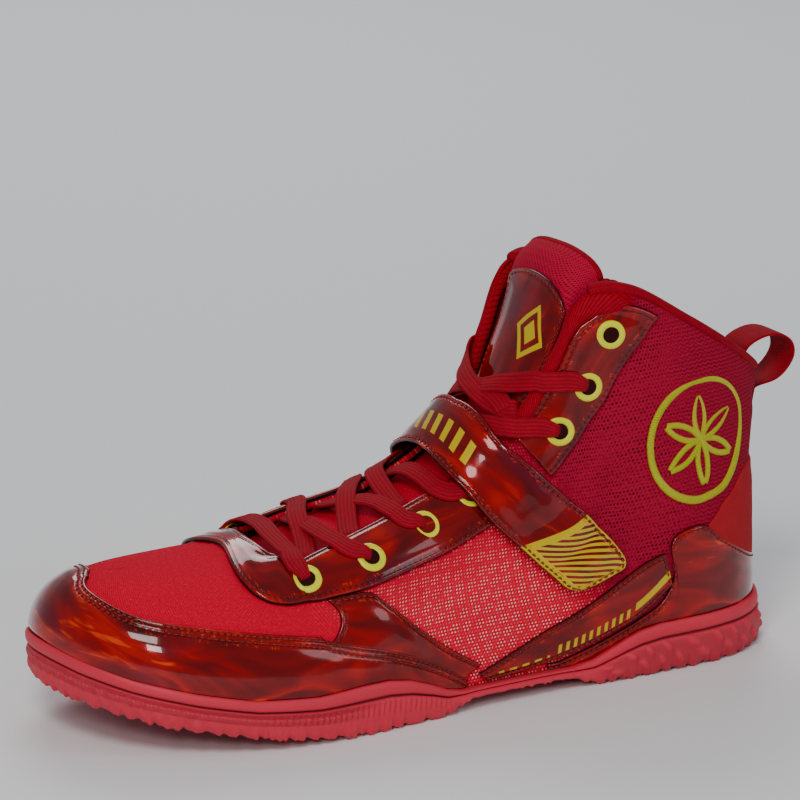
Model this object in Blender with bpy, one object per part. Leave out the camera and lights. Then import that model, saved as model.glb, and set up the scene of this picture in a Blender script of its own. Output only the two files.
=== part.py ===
"""A high-topped wrestling shoe for the left foot, standing empty on its sole.

The toe points along -X, the lateral side is at -Y and +Z is up.
Every curved piece is worked out from one surface, the outside of the upper, which is drawn
by ribs that rise from the sole's edge to the ridge, the throat or the collar.
"""
import math

import bmesh
import bpy
import numpy as np

MM = 0.001

# Main sizes
LENGTH = 285 * MM
BALL_WIDTH = 90 * MM
COLLAR_HEIGHT = 141 * MM
TOE_SPRING = 18.5 * MM
SPRING_START = 0.63
ARCH_RISE = 4.2 * MM

# Walls and clearances; the facet room keeps flat facets of two curved pieces apart
UPPER_WALL = 2.0 * MM
ROLL_EXTRA = 2.0 * MM
SEAT_GAP = 0.3 * MM
FACET_ROOM = 0.25 * MM
SKIN_GAP = SEAT_GAP + FACET_ROOM
OVERLAY_THICK = 1.0 * MM
TONGUE_THICK = 3.5 * MM
STRAP_THICK = 1.8 * MM
INSOLE_THICK = 3.0 * MM

# Sole
SOLE_FLOOR = 6.5 * MM
SOLE_STACK = 18.5 * MM
LIP_WIDTH = 3.0 * MM
GROUND_OUT = 4.5 * MM
TREAD_DEPTH = 2.2 * MM
TOOTH_PITCH = 11 * MM
TOOTH_DEPTH = 1.8 * MM
RIM_WIDTH = 7.5 * MM

# Eyelets, laces, collar binding and pull loop
EYELET_RADIUS = 5.3 * MM
EYELET_HOLE = 2.7 * MM
EYELET_THICK = 0.8 * MM
LACE_WIDTH = 7.2 * MM
LACE_THICK = 1.5 * MM
BINDING_RADIUS = 1.7 * MM
LOOP_WIDTH = 16 * MM
LOOP_THICK = 1.2 * MM

# Heights above the upper's outside, worked up from the pieces that lie on each other
OVERLAY_TOP = SKIN_GAP + OVERLAY_THICK
EYELET_BASE = OVERLAY_TOP + SKIN_GAP
LACE_BASE = EYELET_BASE + EYELET_THICK + SEAT_GAP
STRAP_SIDE = OVERLAY_TOP + SKIN_GAP
STRAP_OVER_LACE = LACE_BASE + LACE_THICK + SKIN_GAP

# Panels stop this far over the sole; a rib is about this share of COLLAR_HEIGHT long
PANEL_STOP = 0.4 * MM
RIB_SHARE = 0.75

# Throat: where its round front starts along the foot and how soon it reaches its full width
THROAT_START = 0.708
THROAT_ROUND = 8 * MM
THROAT_FALL = 4 * MM
THROAT_FALL_LENGTH = 32 * MM
THROAT_RIB = 5
BRIDGE_REACH = 0.36
TOE_TURN = 6 * MM

# Ribs from the toe tip to the back of the heel. Along is measured from the heel, as shares of
# LENGTH; lateral, medial, outs and gap are shares of BALL_WIDTH; ups, drops and heights are
# shares of COLLAR_HEIGHT. A rib leaves the sole by its low handle and ends by its high handle.
# Where the throat is still closed its high handle starts from the edge that it would have open.
# Columns: along, lateral, medial, low_out, low_up, high_out, high_drop, top_along, gap, height
RIBS = (
    (0.972, -0.100, 0.100, 0.067, 0.170, 0.033, 0.000, 0.877, 0.167, 0.399),
    (0.951, 0.156, 0.322, 0.067, 0.177, 0.055, 0.000, 0.870, 0.167, 0.402),
    (0.905, 0.328, 0.444, 0.067, 0.191, 0.100, 0.000, 0.842, 0.167, 0.408),
    (0.835, 0.444, 0.494, 0.056, 0.213, 0.133, 0.000, 0.796, 0.167, 0.413),
    (0.758, 0.500, 0.494, 0.056, 0.234, 0.111, 0.000, 0.747, 0.200, 0.421),
    (0.684, 0.506, 0.461, 0.056, 0.241, 0.050, 0.000, 0.708, 0.250, 0.435),
    (0.589, 0.467, 0.394, 0.056, 0.241, 0.160, 0.007, 0.625, 0.235, 0.444),
    (0.491, 0.417, 0.344, 0.056, 0.255, 0.144, 0.021, 0.526, 0.180, 0.496),
    (0.393, 0.383, 0.322, 0.056, 0.284, 0.133, 0.057, 0.439, 0.183, 0.582),
    (0.302, 0.367, 0.328, 0.056, 0.298, 0.111, 0.156, 0.373, 0.222, 0.702),
    (0.239, 0.359, 0.333, 0.050, 0.312, 0.056, 0.241, 0.334, 0.268, 0.858),
    (0.196, 0.353, 0.333, 0.050, 0.298, 0.022, 0.298, 0.301, 0.302, 0.993),
    (0.161, 0.344, 0.328, 0.050, 0.284, -0.011, 0.312, 0.238, 0.350, 1.000),
    (0.119, 0.328, 0.317, 0.050, 0.270, -0.022, 0.298, 0.154, 0.356, 0.904),
    (0.070, 0.278, 0.272, 0.044, 0.248, -0.033, 0.255, 0.077, 0.300, 0.805),
    (0.030, 0.167, 0.167, 0.039, 0.227, -0.044, 0.213, 0.023, 0.178, 0.730),
    (0.012, 0.000, 0.000, 0.033, 0.213, -0.067, 0.213, 0.005, 0.000, 0.706),
)
HEEL_RIB = len(RIBS) - 1


def rib_loop():
    """The ribs in metres, round the shoe from the lateral heel by the toe to the medial side.

    The last column keeps the gap without a sign, so that it stays smooth over the toe tip."""
    scale = np.array((LENGTH, BALL_WIDTH, BALL_WIDTH, BALL_WIDTH, COLLAR_HEIGHT, BALL_WIDTH,
                      COLLAR_HEIGHT, LENGTH, BALL_WIDTH, COLLAR_HEIGHT))
    rows = np.array(RIBS) * scale
    rows = np.column_stack((rows, rows[:, 8]))
    lateral = np.delete(rows, 2, axis=1)
    medial = np.delete(rows, 1, axis=1)
    lateral[:, (1, 7)] *= -1
    return np.concatenate((lateral[:0:-1], medial[:-1]))


LOOP = rib_loop()


def floor_height(along):
    """Height of the bed that the upper and insole stand on."""
    share = np.clip((along / LENGTH - SPRING_START) / (1 - SPRING_START), 0, None)
    return SOLE_FLOOR + TOE_SPRING * share ** 1.45


def foot_centre(along):
    """How far the foot's middle line bends to the medial side towards the toe."""
    share = np.clip((along / LENGTH - 0.56) / 0.42, 0, None)
    return TOE_TURN * share ** 1.3


def rib_values(s):
    """Table values at place s round the loop: 0 at the toe tip, below 0 lateral, above 0 medial."""
    s = np.asarray(s, float)
    index = np.floor(s).astype(int)
    f = (s - index)[..., None]
    p0, p1, p2, p3 = (LOOP[(index + k + HEEL_RIB) % len(LOOP)] for k in (-1, 0, 1, 2))
    return 0.5 * (2 * p1 + (p2 - p0) * f + (2 * p0 - 5 * p1 + 4 * p2 - p3) * f ** 2
                  + (3 * p1 - p0 - 3 * p2 + p3) * f ** 3)


def outward(s):
    """Level direction that points out of the sole's outline at s, as along and across."""
    turn = (rib_values(s + 0.45) - rib_values(s - 0.45))[..., :2]
    turn = turn / np.linalg.norm(turn, axis=-1, keepdims=True)
    return np.stack((turn[..., 1], -turn[..., 0]), axis=-1)


def rib_points(s):
    """The four control points of the rib at s, as distance along, across and up."""
    row = rib_values(s)
    out = outward(s)
    foot_along, foot_across, low_out, low_up, high_out, high_drop, top_along, gap, height, width = \
        np.moveaxis(row, -1, 0)
    opened = np.clip((THROAT_START * LENGTH - top_along) / THROAT_ROUND, 0, 1)
    opened = np.sqrt(1 - (1 - opened) ** 2)
    top_across = gap * opened + foot_centre(top_along)
    high_out = high_out + width * (1 - opened)
    behind_front = THROAT_START * LENGTH - top_along
    height = height - THROAT_FALL * opened * (1 - ease(behind_front, 0, THROAT_FALL_LENGTH))
    foot = np.stack((foot_along, foot_across, floor_height(foot_along)), axis=-1)
    top = np.stack((top_along, top_across, height), axis=-1)
    low = foot + np.stack((out[..., 0] * low_out, out[..., 1] * low_out, low_up), axis=-1)
    high = top + np.stack((out[..., 0] * high_out, out[..., 1] * high_out, -high_drop), axis=-1)
    return foot, low, high, top


def to_world(points):
    """Turns distances from the heel into places in the part's frame."""
    return np.stack((LENGTH / 2 - points[..., 0], points[..., 1], points[..., 2]), axis=-1)


def bezier(controls, u):
    u = np.asarray(u, float)[..., None]
    a, b, c, d = controls
    return (1 - u) ** 3 * a + 3 * (1 - u) ** 2 * u * b + 3 * (1 - u) * u ** 2 * c + u ** 3 * d


def bare_skin(s, u):
    return to_world(bezier(rib_points(s), u))


def unit(v):
    return v / np.maximum(np.linalg.norm(v, axis=-1, keepdims=True), 1e-12)


def skin_normal(s, u):
    step_s, step_u = 0.10, 0.004
    along = bare_skin(s + step_s, u) - bare_skin(s - step_s, u)
    rise = bare_skin(s, u + step_u) - bare_skin(s, u - step_u)
    return unit(np.cross(rise, along))


def skin(s, u, lift=0.0):
    """The point of the upper's outside at rib s and rise u (0 sole, 1 top), lifted off it."""
    s, u, lift = np.broadcast_arrays(np.asarray(s, float), np.asarray(u, float), np.asarray(lift, float))
    normal = skin_normal(s, u)
    on_ridge = (u >= 1) & (np.abs(s) <= THROAT_RIB)
    beside = unit(skin_normal(s, 0.985 * u) + skin_normal(-s, 0.985 * u))
    normal = np.where(on_ridge[..., None], beside, normal)
    return bare_skin(s, u) + normal * lift[..., None]


def side_rows(rows, steps):
    """A smooth curve through the rows of a table, with the given steps from row to row."""
    rows = np.array(rows, float)
    knots = np.arange(len(rows))
    return curve_through(knots, rows, np.linspace(0, len(rows) - 1, steps * (len(rows) - 1) + 1))


def curve_through(knots, rows, places):
    """A cubic through rows of values at rising knots, read at the given places."""
    knots = np.asarray(knots, float)
    rows = np.asarray(rows, float)
    slope = np.gradient(rows, knots, axis=0)
    index = np.clip(np.searchsorted(knots, places, side="right") - 1, 0, len(knots) - 2)
    span = knots[index + 1] - knots[index]
    f = (np.asarray(places) - knots[index]) / span
    if rows.ndim > 1:
        f, span = f[:, None], span[:, None]
    return ((2 * f ** 3 - 3 * f ** 2 + 1) * rows[index] + (f ** 3 - 2 * f ** 2 + f) * span * slope[index]
            + (3 * f ** 2 - 2 * f ** 3) * rows[index + 1] + (f ** 3 - f ** 2) * span * slope[index + 1])


def ease(x, start, end):
    """0 before start, 1 after end and a soft step between them."""
    f = np.clip((x - start) / (end - start), 0, 1)
    return f * f * (3 - 2 * f)


# Top of the sole's side, as shares of LENGTH from the heel and of SOLE_STACK
LIP = (
    (0.000, 1.005), (0.193, 0.990), (0.225, 0.910), (0.246, 0.800), (0.270, 0.650), (0.295, 0.500),
    (0.326, 0.430), (0.491, 0.430), (0.516, 0.520), (0.540, 0.690), (0.572, 0.875), (0.604, 0.970),
    (0.639, 0.975), (0.702, 0.930), (0.782, 1.015), (0.849, 1.220), (0.912, 1.480), (0.954, 1.730),
    (0.985, 1.970),
)


def lip_height(along):
    share, height = np.array(LIP).T
    return SOLE_STACK * np.interp(along / LENGTH, share, height)


def ground_height(along):
    """Underside of the sole: flat at heel and forefoot, raised at the arch and towards the toe."""
    share = along / LENGTH
    arch = ease(share, 0.285, 0.345) * (1 - ease(share, 0.475, 0.525))
    return floor_height(along) - SOLE_FLOOR + ARCH_RISE * arch


def lip_rise(s):
    """Rise u on the rib at s that is as high as the top of the sole's side there."""
    s = np.atleast_1d(np.asarray(s, float))
    samples = np.linspace(0, 0.4, 17)
    height = bare_skin(s[:, None], samples[None, :])[..., 2]
    target = lip_height(rib_points(s)[0][..., 0])
    return np.array([np.interp(t, h, samples) for t, h in zip(target, height)])


def wall_at(s, u):
    """Thickness of the upper's wall, with the padded roll along the front edges of the flaps."""
    t = np.abs(s)
    roll = ease(t, 9.2, 10.0) * (1 - ease(t, 11.6, 12.2)) * ease(u, 0.86, 0.93)
    return UPPER_WALL + ROLL_EXTRA * roll


def throat_bridge(t, q, lift=0.0):
    """A curve over the throat at rib t, q from 0 at the lateral edge to 1 at the medial edge."""
    t, q, lift = np.broadcast_arrays(np.asarray(t, float), np.asarray(q, float), np.asarray(lift, float))
    start, end = skin(-t, 1.0, lift), skin(t, 1.0, lift)
    reach = np.linalg.norm(end - start, axis=-1, keepdims=True) * BRIDGE_REACH
    rise_start = unit(bare_skin(-t, 1.0) - bare_skin(-t, 0.97))
    rise_end = unit(bare_skin(t, 1.0) - bare_skin(t, 0.97))
    return bezier((start, start + rise_start * reach, end + rise_end * reach, end), q)


def over(t, q, lift=0.0):
    """The point at rib t of a line over the shoe: q 0 to 1 up the lateral side, to 2 across the
    throat and to 3 down the medial side."""
    t, q, lift = np.broadcast_arrays(np.asarray(t, float), np.asarray(q, float), np.asarray(lift, float))
    lateral = skin(-t, np.clip(q, 0, 1), lift)
    medial = skin(t, np.clip(3 - q, 0, 1), lift)
    middle = throat_bridge(t, np.clip(q - 1, 0, 1), lift)
    q = q[..., None]
    return np.where(q <= 1, lateral, np.where(q >= 2, medial, middle))


def finish_material(name, colour, roughness, metallic=0.0):
    material = bpy.data.materials.new(name)
    material.use_nodes = True
    shader = material.node_tree.nodes["Principled BSDF"]
    shader.inputs["Base Color"].default_value = (*colour, 1)
    shader.inputs["Roughness"].default_value = roughness
    shader.inputs["Metallic"].default_value = metallic
    return material


PATENT = ((0.42, 0.02, 0.02), 0.12)
KNIT = ((0.62, 0.03, 0.06), 0.85)
RUBBER = ((0.50, 0.06, 0.08), 0.55)
LINING = ((0.30, 0.02, 0.03), 0.9)
TAPE = ((0.50, 0.02, 0.03), 0.8)
LIME = ((0.72, 0.75, 0.04), 0.4)
GORE = ((0.60, 0.05, 0.04), 0.7)


def make_object(name, points, faces, finish):
    """One closed body from corner points and faces, its doubles merged and its faces outwards."""
    mesh = bpy.data.meshes.new(name)
    mesh.from_pydata([tuple(p) for p in points], [], faces)
    body = bmesh.new()
    body.from_mesh(mesh)
    bmesh.ops.remove_doubles(body, verts=body.verts, dist=0.002 * MM)
    bmesh.ops.dissolve_degenerate(body, edges=body.edges, dist=0.001 * MM)
    bmesh.ops.triangulate(body, faces=body.faces)
    bmesh.ops.recalc_face_normals(body, faces=body.faces)
    body.to_mesh(mesh)
    body.free()
    mesh.materials.append(finish_material(name + "_finish", *finish))
    mesh.shade_smooth()
    mesh.set_sharp_from_angle(angle=math.radians(40))
    obj = bpy.data.objects.new(name, mesh)
    bpy.context.collection.objects.link(obj)
    return obj


def shell(name, outer, inner, finish, ring=False, open_rim=None):
    """A closed wall between two grids of points, rows along it and columns across it.

    A ring joins its last row to its first. Where open_rim is false for a row and the next one,
    the last column has no rim, because the two sides of the shoe meet there."""
    rows, columns = outer.shape[:2]
    points = np.concatenate((outer.reshape(-1, 3), inner.reshape(-1, 3)))
    inside = rows * columns

    def at(row, column):
        return (row % rows) * columns + column

    faces = []
    for i in range(rows if ring else rows - 1):
        for j in range(columns - 1):
            quad = (at(i, j), at(i + 1, j), at(i + 1, j + 1), at(i, j + 1))
            faces.append(quad)
            faces.append(tuple(k + inside for k in reversed(quad)))
        faces.append((at(i, 0), at(i, 0) + inside, at(i + 1, 0) + inside, at(i + 1, 0)))
        if open_rim is None or (open_rim[i] and open_rim[(i + 1) % rows]):
            last = columns - 1
            faces.append((at(i, last), at(i + 1, last), at(i + 1, last) + inside, at(i, last) + inside))
    if not ring:
        for i in (0, rows - 1):
            for j in range(columns - 1):
                faces.append((at(i, j), at(i, j + 1), at(i, j + 1) + inside, at(i, j) + inside))
    return make_object(name, points, faces, finish)


def grid_normals(grid):
    """Unit normals of a grid of points, outwards where its rows run from lateral to medial."""
    along = np.gradient(grid, axis=0)
    across = np.gradient(grid, axis=1)
    return unit(np.cross(across, along))


def upper_places():
    """Rib places round the shoe, closer where the throat starts and at the toe and heel."""
    near_throat = THROAT_RIB + np.array((-0.4, -0.1, 0, 0.05, 0.15, 0.3, 0.6, 1.05))
    front = np.arange(0.5, THROAT_RIB - 0.6, 0.55)
    rest = np.arange(THROAT_RIB + 1.5, HEEL_RIB, 0.5)
    side = np.concatenate((front, near_throat, rest))
    return np.concatenate((-side[::-1], (0.0,), side, (float(HEEL_RIB),)))


def make_upper():
    """One hollow wall on the last's shape, open at collar and throat and underneath."""
    places = upper_places()[:, None]
    rise = np.array((0.006, 0.12, 0.26, 0.40, 0.54, 0.68, 0.82, 0.92, 1.0))[None, :]
    outer = skin(places, rise)
    inner = skin(places, rise, -wall_at(places, rise))
    open_rim = np.abs(places[:, 0]) >= THROAT_RIB
    return shell("upper", outer, inner, KNIT, ring=True, open_rim=open_rim)


def panel_grid(rows, side, across, steps, lift):
    """Points of a panel on the upper: each table row holds the rib and rise of its two ends."""
    curve = side_rows(rows, steps)
    share = np.linspace(0, 1, across + 1)[None, :]
    places = side * (curve[:, 0:1] + (curve[:, 2:3] - curve[:, 0:1]) * share)
    low = np.maximum(curve[:, 1:2], panel_foot(side * curve[:, 0])[:, None])
    high = np.maximum(curve[:, 3:4], panel_foot(side * curve[:, 2])[:, None] + 0.02)
    return skin(places, np.minimum(low + (high - low) * share, 1.0), lift)


def panel_foot(s):
    """Rise at which a panel stops, just over the top of the sole's side."""
    return lip_rise(s) + (SKIN_GAP + PANEL_STOP) / (COLLAR_HEIGHT * RIB_SHARE)


def one_panel(name, rows, side, across=3, steps=2, finish=PATENT):
    outer = panel_grid(rows, side, across, steps, OVERLAY_TOP)
    inner = panel_grid(rows, side, across, steps, SKIN_GAP)
    return shell(name, outer, inner, finish)


def wrapped_panel(name, rows, across=3, steps=2, finish=PATENT):
    """A panel on both sides in one piece, its last table row lying on the shoe's middle line."""
    def both(lift):
        lateral = panel_grid(rows, -1, across, steps, lift)
        medial = panel_grid(rows, 1, across, steps, lift)
        return np.concatenate((lateral, medial[-2::-1]))
    return shell(name, both(OVERLAY_TOP), both(SKIN_GAP), finish)


# Panels of one side: rib and rise of the first edge, then rib and rise of the second edge
TOE_GUARD = (
    (7.08, 0.00, 7.10, 0.050), (6.65, 0.00, 6.65, 0.130), (6.20, 0.00, 6.20, 0.200),
    (5.70, 0.00, 5.70, 0.265), (5.00, 0.00, 5.00, 0.325), (4.00, 0.00, 4.00, 0.365), (3.00, 0.00, 3.00, 0.43),
    (2.00, 0.00, 2.00, 0.520), (1.00, 0.00, 1.00, 0.62), (0.00, 0.00, 0.00, 0.665),
)
LOWER_EYESTAY = (
    (8.30, 0.930, 8.30, 0.620), (7.60, 0.970, 7.60, 0.560), (6.85, 0.980, 6.85, 0.515),
    (6.10, 0.980, 6.05, 0.520), (5.62, 0.970, 5.35, 0.515), (5.38, 0.945, 4.95, 0.495),
    (5.18, 0.890, 4.55, 0.495), (5.00, 0.840, 4.15, 0.540), (4.89, 0.860, 3.85, 0.680),
    (4.86, 0.930, 3.72, 0.860), (4.85, 1.000, 3.68, 1.000),
)
SIDE_BAR = (
    (5.14, 0.355, 5.30, 0.475), (5.45, 0.332, 5.86, 0.475), (5.92, 0.278, 6.10, 0.400),
    (6.30, 0.225, 6.42, 0.295), (6.68, 0.168, 6.80, 0.192), (6.98, 0.112, 7.18, 0.122),
)
SIDE_STRIPE = (
    (7.42, 0.03, 7.28, 0.055), (8.00, 0.04, 7.90, 0.108), (8.60, 0.064, 8.52, 0.158),
    (9.40, 0.113, 9.35, 0.208), (10.40, 0.152, 10.45, 0.252), (11.80, 0.218, 11.72, 0.288),
)
HEEL_COUNTER = (
    (8.65, 0.00, 8.65, 0.03), (9.30, 0.00, 9.30, 0.082), (10.35, 0.00, 10.35, 0.128),
    (11.30, 0.00, 11.30, 0.162), (12.02, 0.00, 11.98, 0.225), (12.20, 0.00, 12.10, 0.315),
    (12.70, 0.00, 12.62, 0.370), (13.10, 0.00, 13.05, 0.385), (13.50, 0.00, 13.47, 0.350),
    (14.50, 0.00, 14.50, 0.290), (15.25, 0.00, 15.25, 0.270), (16.00, 0.00, 16.00, 0.262),
)
HEEL_GORE = (
    (13.12, 0.410, 13.20, 0.440), (13.50, 0.375, 13.55, 0.485), (14.00, 0.345, 14.00, 0.555),
    (14.50, 0.315, 14.50, 0.600), (15.25, 0.295, 15.25, 0.640), (16.00, 0.287, 16.00, 0.650),
)
UPPER_EYESTAY = (
    (11.50, 0.960, 12.45, 0.962), (11.25, 0.93, 12.12, 0.872), (10.70, 0.925, 11.50, 0.76),
    (9.95, 0.925, 11.00, 0.700), (9.43, 0.93, 10.20, 0.690), (8.80, 0.94, 9.15, 0.680),
)


def section_sweep(name, path, across, up, sections, finish, ring=False):
    """A closed bead along a path, its section given as shares of the across and up vectors."""
    shape = np.array(sections)
    rings = (path[:, None, :] + across[:, None, :] * shape[None, :, 0:1] + up[:, None, :] * shape[None, :, 1:2])
    rows, columns = rings.shape[:2]
    faces = []
    for i in range(rows if ring else rows - 1):
        for j in range(columns):
            k = (j + 1) % columns
            n = (i + 1) % rows
            faces.append((i * columns + j, i * columns + k, n * columns + k, n * columns + j))
    if not ring:
        faces.append(tuple(range(columns)))
        faces.append(tuple(range((rows - 1) * columns, rows * columns)))
    return make_object(name, rings.reshape(-1, 3), faces, finish)


# Sole's side from its lip to the ground: share of its height, push outwards in millimetres, and
# how far a tooth's gap cuts in as a share of TOOTH_DEPTH
SOLE_SIDE = (
    (1.000, 0.0, 0.0), (0.860, 0.7, 0.0), (0.745, 0.3, 0.0), (0.710, -0.8, 0.0), (0.675, 0.4, 0.0),
    (0.300, 1.2, 0.3), (0.000, 0.3, 1.0),
)
RECESS_STEP = 0.6 * MM


def tooth_columns():
    """Rib places round the sole, two to each tooth and the same on both sides."""
    fine = np.linspace(0, HEEL_RIB, 1601)
    foot = to_world(rib_points(-fine)[0])
    run = np.concatenate(((0,), np.cumsum(np.linalg.norm(np.diff(foot, axis=0), axis=1))))
    teeth = round(run[-1] / TOOTH_PITCH)
    return np.interp(np.linspace(0, run[-1], 2 * teeth + 1), run, fine)


def level_out(s):
    """The outward direction at s in the part's frame."""
    out = outward(s)
    return np.stack((-out[:, 0], out[:, 1], np.zeros(len(s))), axis=1)


def sole_rings(s):
    """Rings of the sole from the bed's edge over the lip and down its side to the tread."""
    foot = rib_points(s)[0]
    along = foot[:, 0]
    out = level_out(s)
    ground, lip, bed = ground_height(along), lip_height(along), floor_height(along)
    top_rise = lip_rise(s)
    rings = [skin(s, top_rise * share, SKIN_GAP) for share in (0.0, 0.5, 1.0)]
    rings[0][:, 2] = bed
    rings[2][:, 2] = lip
    lip_out = rings[2] + out * LIP_WIDTH
    ground_out = to_world(foot) + out * GROUND_OUT
    gap = (np.arange(len(s)) % 2).astype(float)
    for share, push, cut in SOLE_SIDE:
        ring = ground_out + (lip_out - ground_out) * share
        ring += out * (push * MM - cut * gap * TOOTH_DEPTH)[:, None]
        ring[:, 2] = ground + (lip - ground) * share + (TOOTH_DEPTH * gap if share == 0 else 0)
        rings.append(ring)
    rim = to_world(foot) - out * (RIM_WIDTH - GROUND_OUT)
    rim[:, 2] = ground + TOOTH_DEPTH * gap
    recess = rim - out * RECESS_STEP
    recess[:, 2] = ground + TREAD_DEPTH
    return rings + [rim, recess]


def make_sole():
    """A rubber cup sole: bed, lip, grooved side, toothed edge and a tread of short bars."""
    half = tooth_columns()
    s = np.concatenate((-half[::-1], half[1:-1]))
    rings = np.array(sole_rings(s))
    count, total = len(s), len(rings)
    points = rings.reshape(-1, 3)
    faces = []
    for k in range(total - 1):
        for i in range(count):
            j = (i + 1) % count
            faces.append((k * count + i, k * count + j, (k + 1) * count + j, (k + 1) * count + i))
    # The bed and the tread's ground are closed by strips from side to side
    tip = len(half) - 1
    for ring in (0, total - 1):
        start = ring * count
        for i in range(tip):
            a, b = (tip + i) % count, (tip + i + 1) % count
            c, d = (tip - i - 1) % count, (tip - i) % count
            faces.append((start + a, start + b, start + c, start + d))
    sole = make_object("sole", points, faces, RUBBER)
    lugs = make_lugs(rings[-1], tip)
    union = sole.modifiers.new("tread", "BOOLEAN")
    union.operation = "UNION"
    union.object = lugs
    return sole


LUG_LENGTH = 15 * MM
LUG_WIDTH = 6 * MM
LUG_ROW = 19 * MM
LUG_SLANT = 0.45
HEEL_TREAD = (0.06, 0.27)
FRONT_TREAD = (0.545, 0.93)
LUGS_ACROSS = 3


def make_lugs(recess, tip):
    """Short slanted bars in rows across heel and forefoot, turned the other way row by row."""
    lateral, medial = recess[:tip + 1], recess[tip:]
    points, faces = [], []
    row = 0
    for start, end in (HEEL_TREAD, FRONT_TREAD):
        rows = max(2, round((end - start) * LENGTH / LUG_ROW))
        for along in np.linspace(start, end, rows) * LENGTH:
            x = LENGTH / 2 - along
            low = np.interp(-x, -lateral[:, 0], lateral[:, 1])
            high = np.interp(x, medial[:, 0], medial[:, 1])
            row += 1
            slant = LUG_SLANT if row % 2 else -LUG_SLANT
            for k in range(LUGS_ACROSS):
                y = low + (high - low) * (k + 0.5) / LUGS_ACROSS
                reach = min(LUG_LENGTH, (high - low) / LUGS_ACROSS * 0.85) / 2
                add_lug(points, faces, along, y, reach, slant)
    lugs = make_object("tread_bars", points, faces, RUBBER)
    lugs.hide_render = True
    lugs.display_type = "WIRE"
    return lugs


def add_lug(points, faces, along, y, reach, slant):
    start = len(points)
    corners = [(along + sx * LUG_WIDTH / 2 + sy * reach * slant, y + sy * reach)
               for sx, sy in ((-1, -1), (1, -1), (1, 1), (-1, 1))]
    for raise_by in (0.0, TREAD_DEPTH + 1.0 * MM):
        for a, b in corners:
            points.append((LENGTH / 2 - a, b, float(ground_height(np.array(a))) + raise_by))
    faces.append((start, start + 1, start + 2, start + 3))
    faces.append((start + 4, start + 5, start + 6, start + 7))
    for k in range(4):
        n = (k + 1) % 4
        faces.append((start + k, start + n, start + 4 + n, start + 4 + k))


INSOLE_ROOM = 1.0 * MM


def make_insole():
    """A flat foam bed inside the upper, with the foot's outline."""
    half = np.linspace(0, HEEL_RIB, 29)
    s = np.concatenate((-half[::-1], half[1:-1]))
    foot = rib_points(s)[0]
    out = level_out(s)
    edge = to_world(foot) - out * (UPPER_WALL + INSOLE_ROOM)
    low = edge + np.array((0, 0, SEAT_GAP))
    high = edge + np.array((0, 0, SEAT_GAP + INSOLE_THICK))
    count = len(s)
    points = np.concatenate((low, high))
    faces = [(i, (i + 1) % count, (i + 1) % count + count, i + count) for i in range(count)]
    tip = len(half) - 1
    for start in (0, count):
        for i in range(tip):
            a, b = (tip + i) % count, (tip + i + 1) % count
            c, d = (tip - i - 1) % count, (tip - i) % count
            faces.append((start + a, start + b, start + c, start + d))
    return make_object("insole", points, faces, LINING)


# Tongue, from its foot at the throat's front to its top: the rib where it comes out from under
# the flaps, the rib and rise of its hidden edge, how far it stands up past that rib and how deep
# it lies, as shares of TONGUE_RISE and TONGUE_SINK
TONGUE = (
    (5.32, 5.32, 0.87, -0.9, 2.6), (5.60, 5.55, 0.82, 0.0, 1.8), (6.20, 6.15, 0.80, 0.0, 1.0),
    (7.00, 7.00, 0.80, 0.0, 1.0), (8.00, 8.10, 0.80, 0.0, 1.0), (9.00, 9.30, 0.80, 0.0, 1.0),
    (10.00, 10.80, 0.80, 0.0, 1.0), (10.80, 12.20, 0.86, 0.08, 1.0), (11.00, 12.60, 0.97, 0.65, 1.0),
)
TONGUE_RISE = 9 * MM
TONGUE_SINK = 1.4 * MM
FLAP_SHARE = 0.35


def tongue_surface(v, w):
    """Outside of the tongue at row v of its table and w from -1, lateral, to 1, medial."""
    lip, edge_rib, edge_rise, stand, sink = curve_through(np.arange(len(TONGUE)), TONGUE, v).T
    points = np.empty((len(v), len(w), 3))
    for j, place in enumerate(w):
        under = max(0.0, (abs(place) - (1 - FLAP_SHARE)) / FLAP_SHARE)
        t = lip + (edge_rib - lip) * under
        u = 1 + (edge_rise - 1) * under
        depth = -(wall_at(lip, 1.0) + SKIN_GAP + TONGUE_SINK * sink)
        if under > 0:
            points[:, j] = skin(np.sign(place) * t, u, depth)
        else:
            points[:, j] = throat_bridge(lip, 0.5 + 0.5 * place / (1 - FLAP_SHARE), depth)
    up = unit(throat_bridge(lip + 0.05, 0.5) - throat_bridge(lip - 0.05, 0.5))
    width = 1 - ease(np.abs(w), 0.3, 1.0)
    return points + up[:, None, :] * (stand[:, None] * width[None, :] * TONGUE_RISE)[..., None]


def make_tongue():
    v = np.linspace(0, len(TONGUE) - 1, 17)
    w = np.array((-1, -0.82, -0.65, -0.35, 0, 0.35, 0.65, 0.82, 1))
    outer = tongue_surface(v, w)
    inner = outer + grid_normals(outer) * TONGUE_THICK
    return shell("tongue", outer, inner, LINING)


TONGUE_PANEL_ROWS = (5.6, 7.75)
TONGUE_PANEL_WIDTH = 0.42


def make_tongue_panel():
    """The glossy panel stitched on the tongue's upper half."""
    v = np.linspace(*TONGUE_PANEL_ROWS, 7)
    w = np.linspace(-TONGUE_PANEL_WIDTH, TONGUE_PANEL_WIDTH, 6)
    base = tongue_surface(v, w)
    normal = -grid_normals(base)
    return shell("tongue_panel", base + normal * OVERLAY_TOP, base + normal * SKIN_GAP, PATENT)


# Strap from its free lateral end over the instep: rib and place across of front and back edge
STRAP = (
    (8.75, 0.250, 10.20, 0.275), (8.22, 0.430, 9.57, 0.455), (7.82, 0.620, 9.05, 0.640),
    (7.62, 0.820, 8.72, 0.830), (7.52, 1.000, 8.55, 1.000), (7.50, 1.500, 8.45, 1.500),
)


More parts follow.
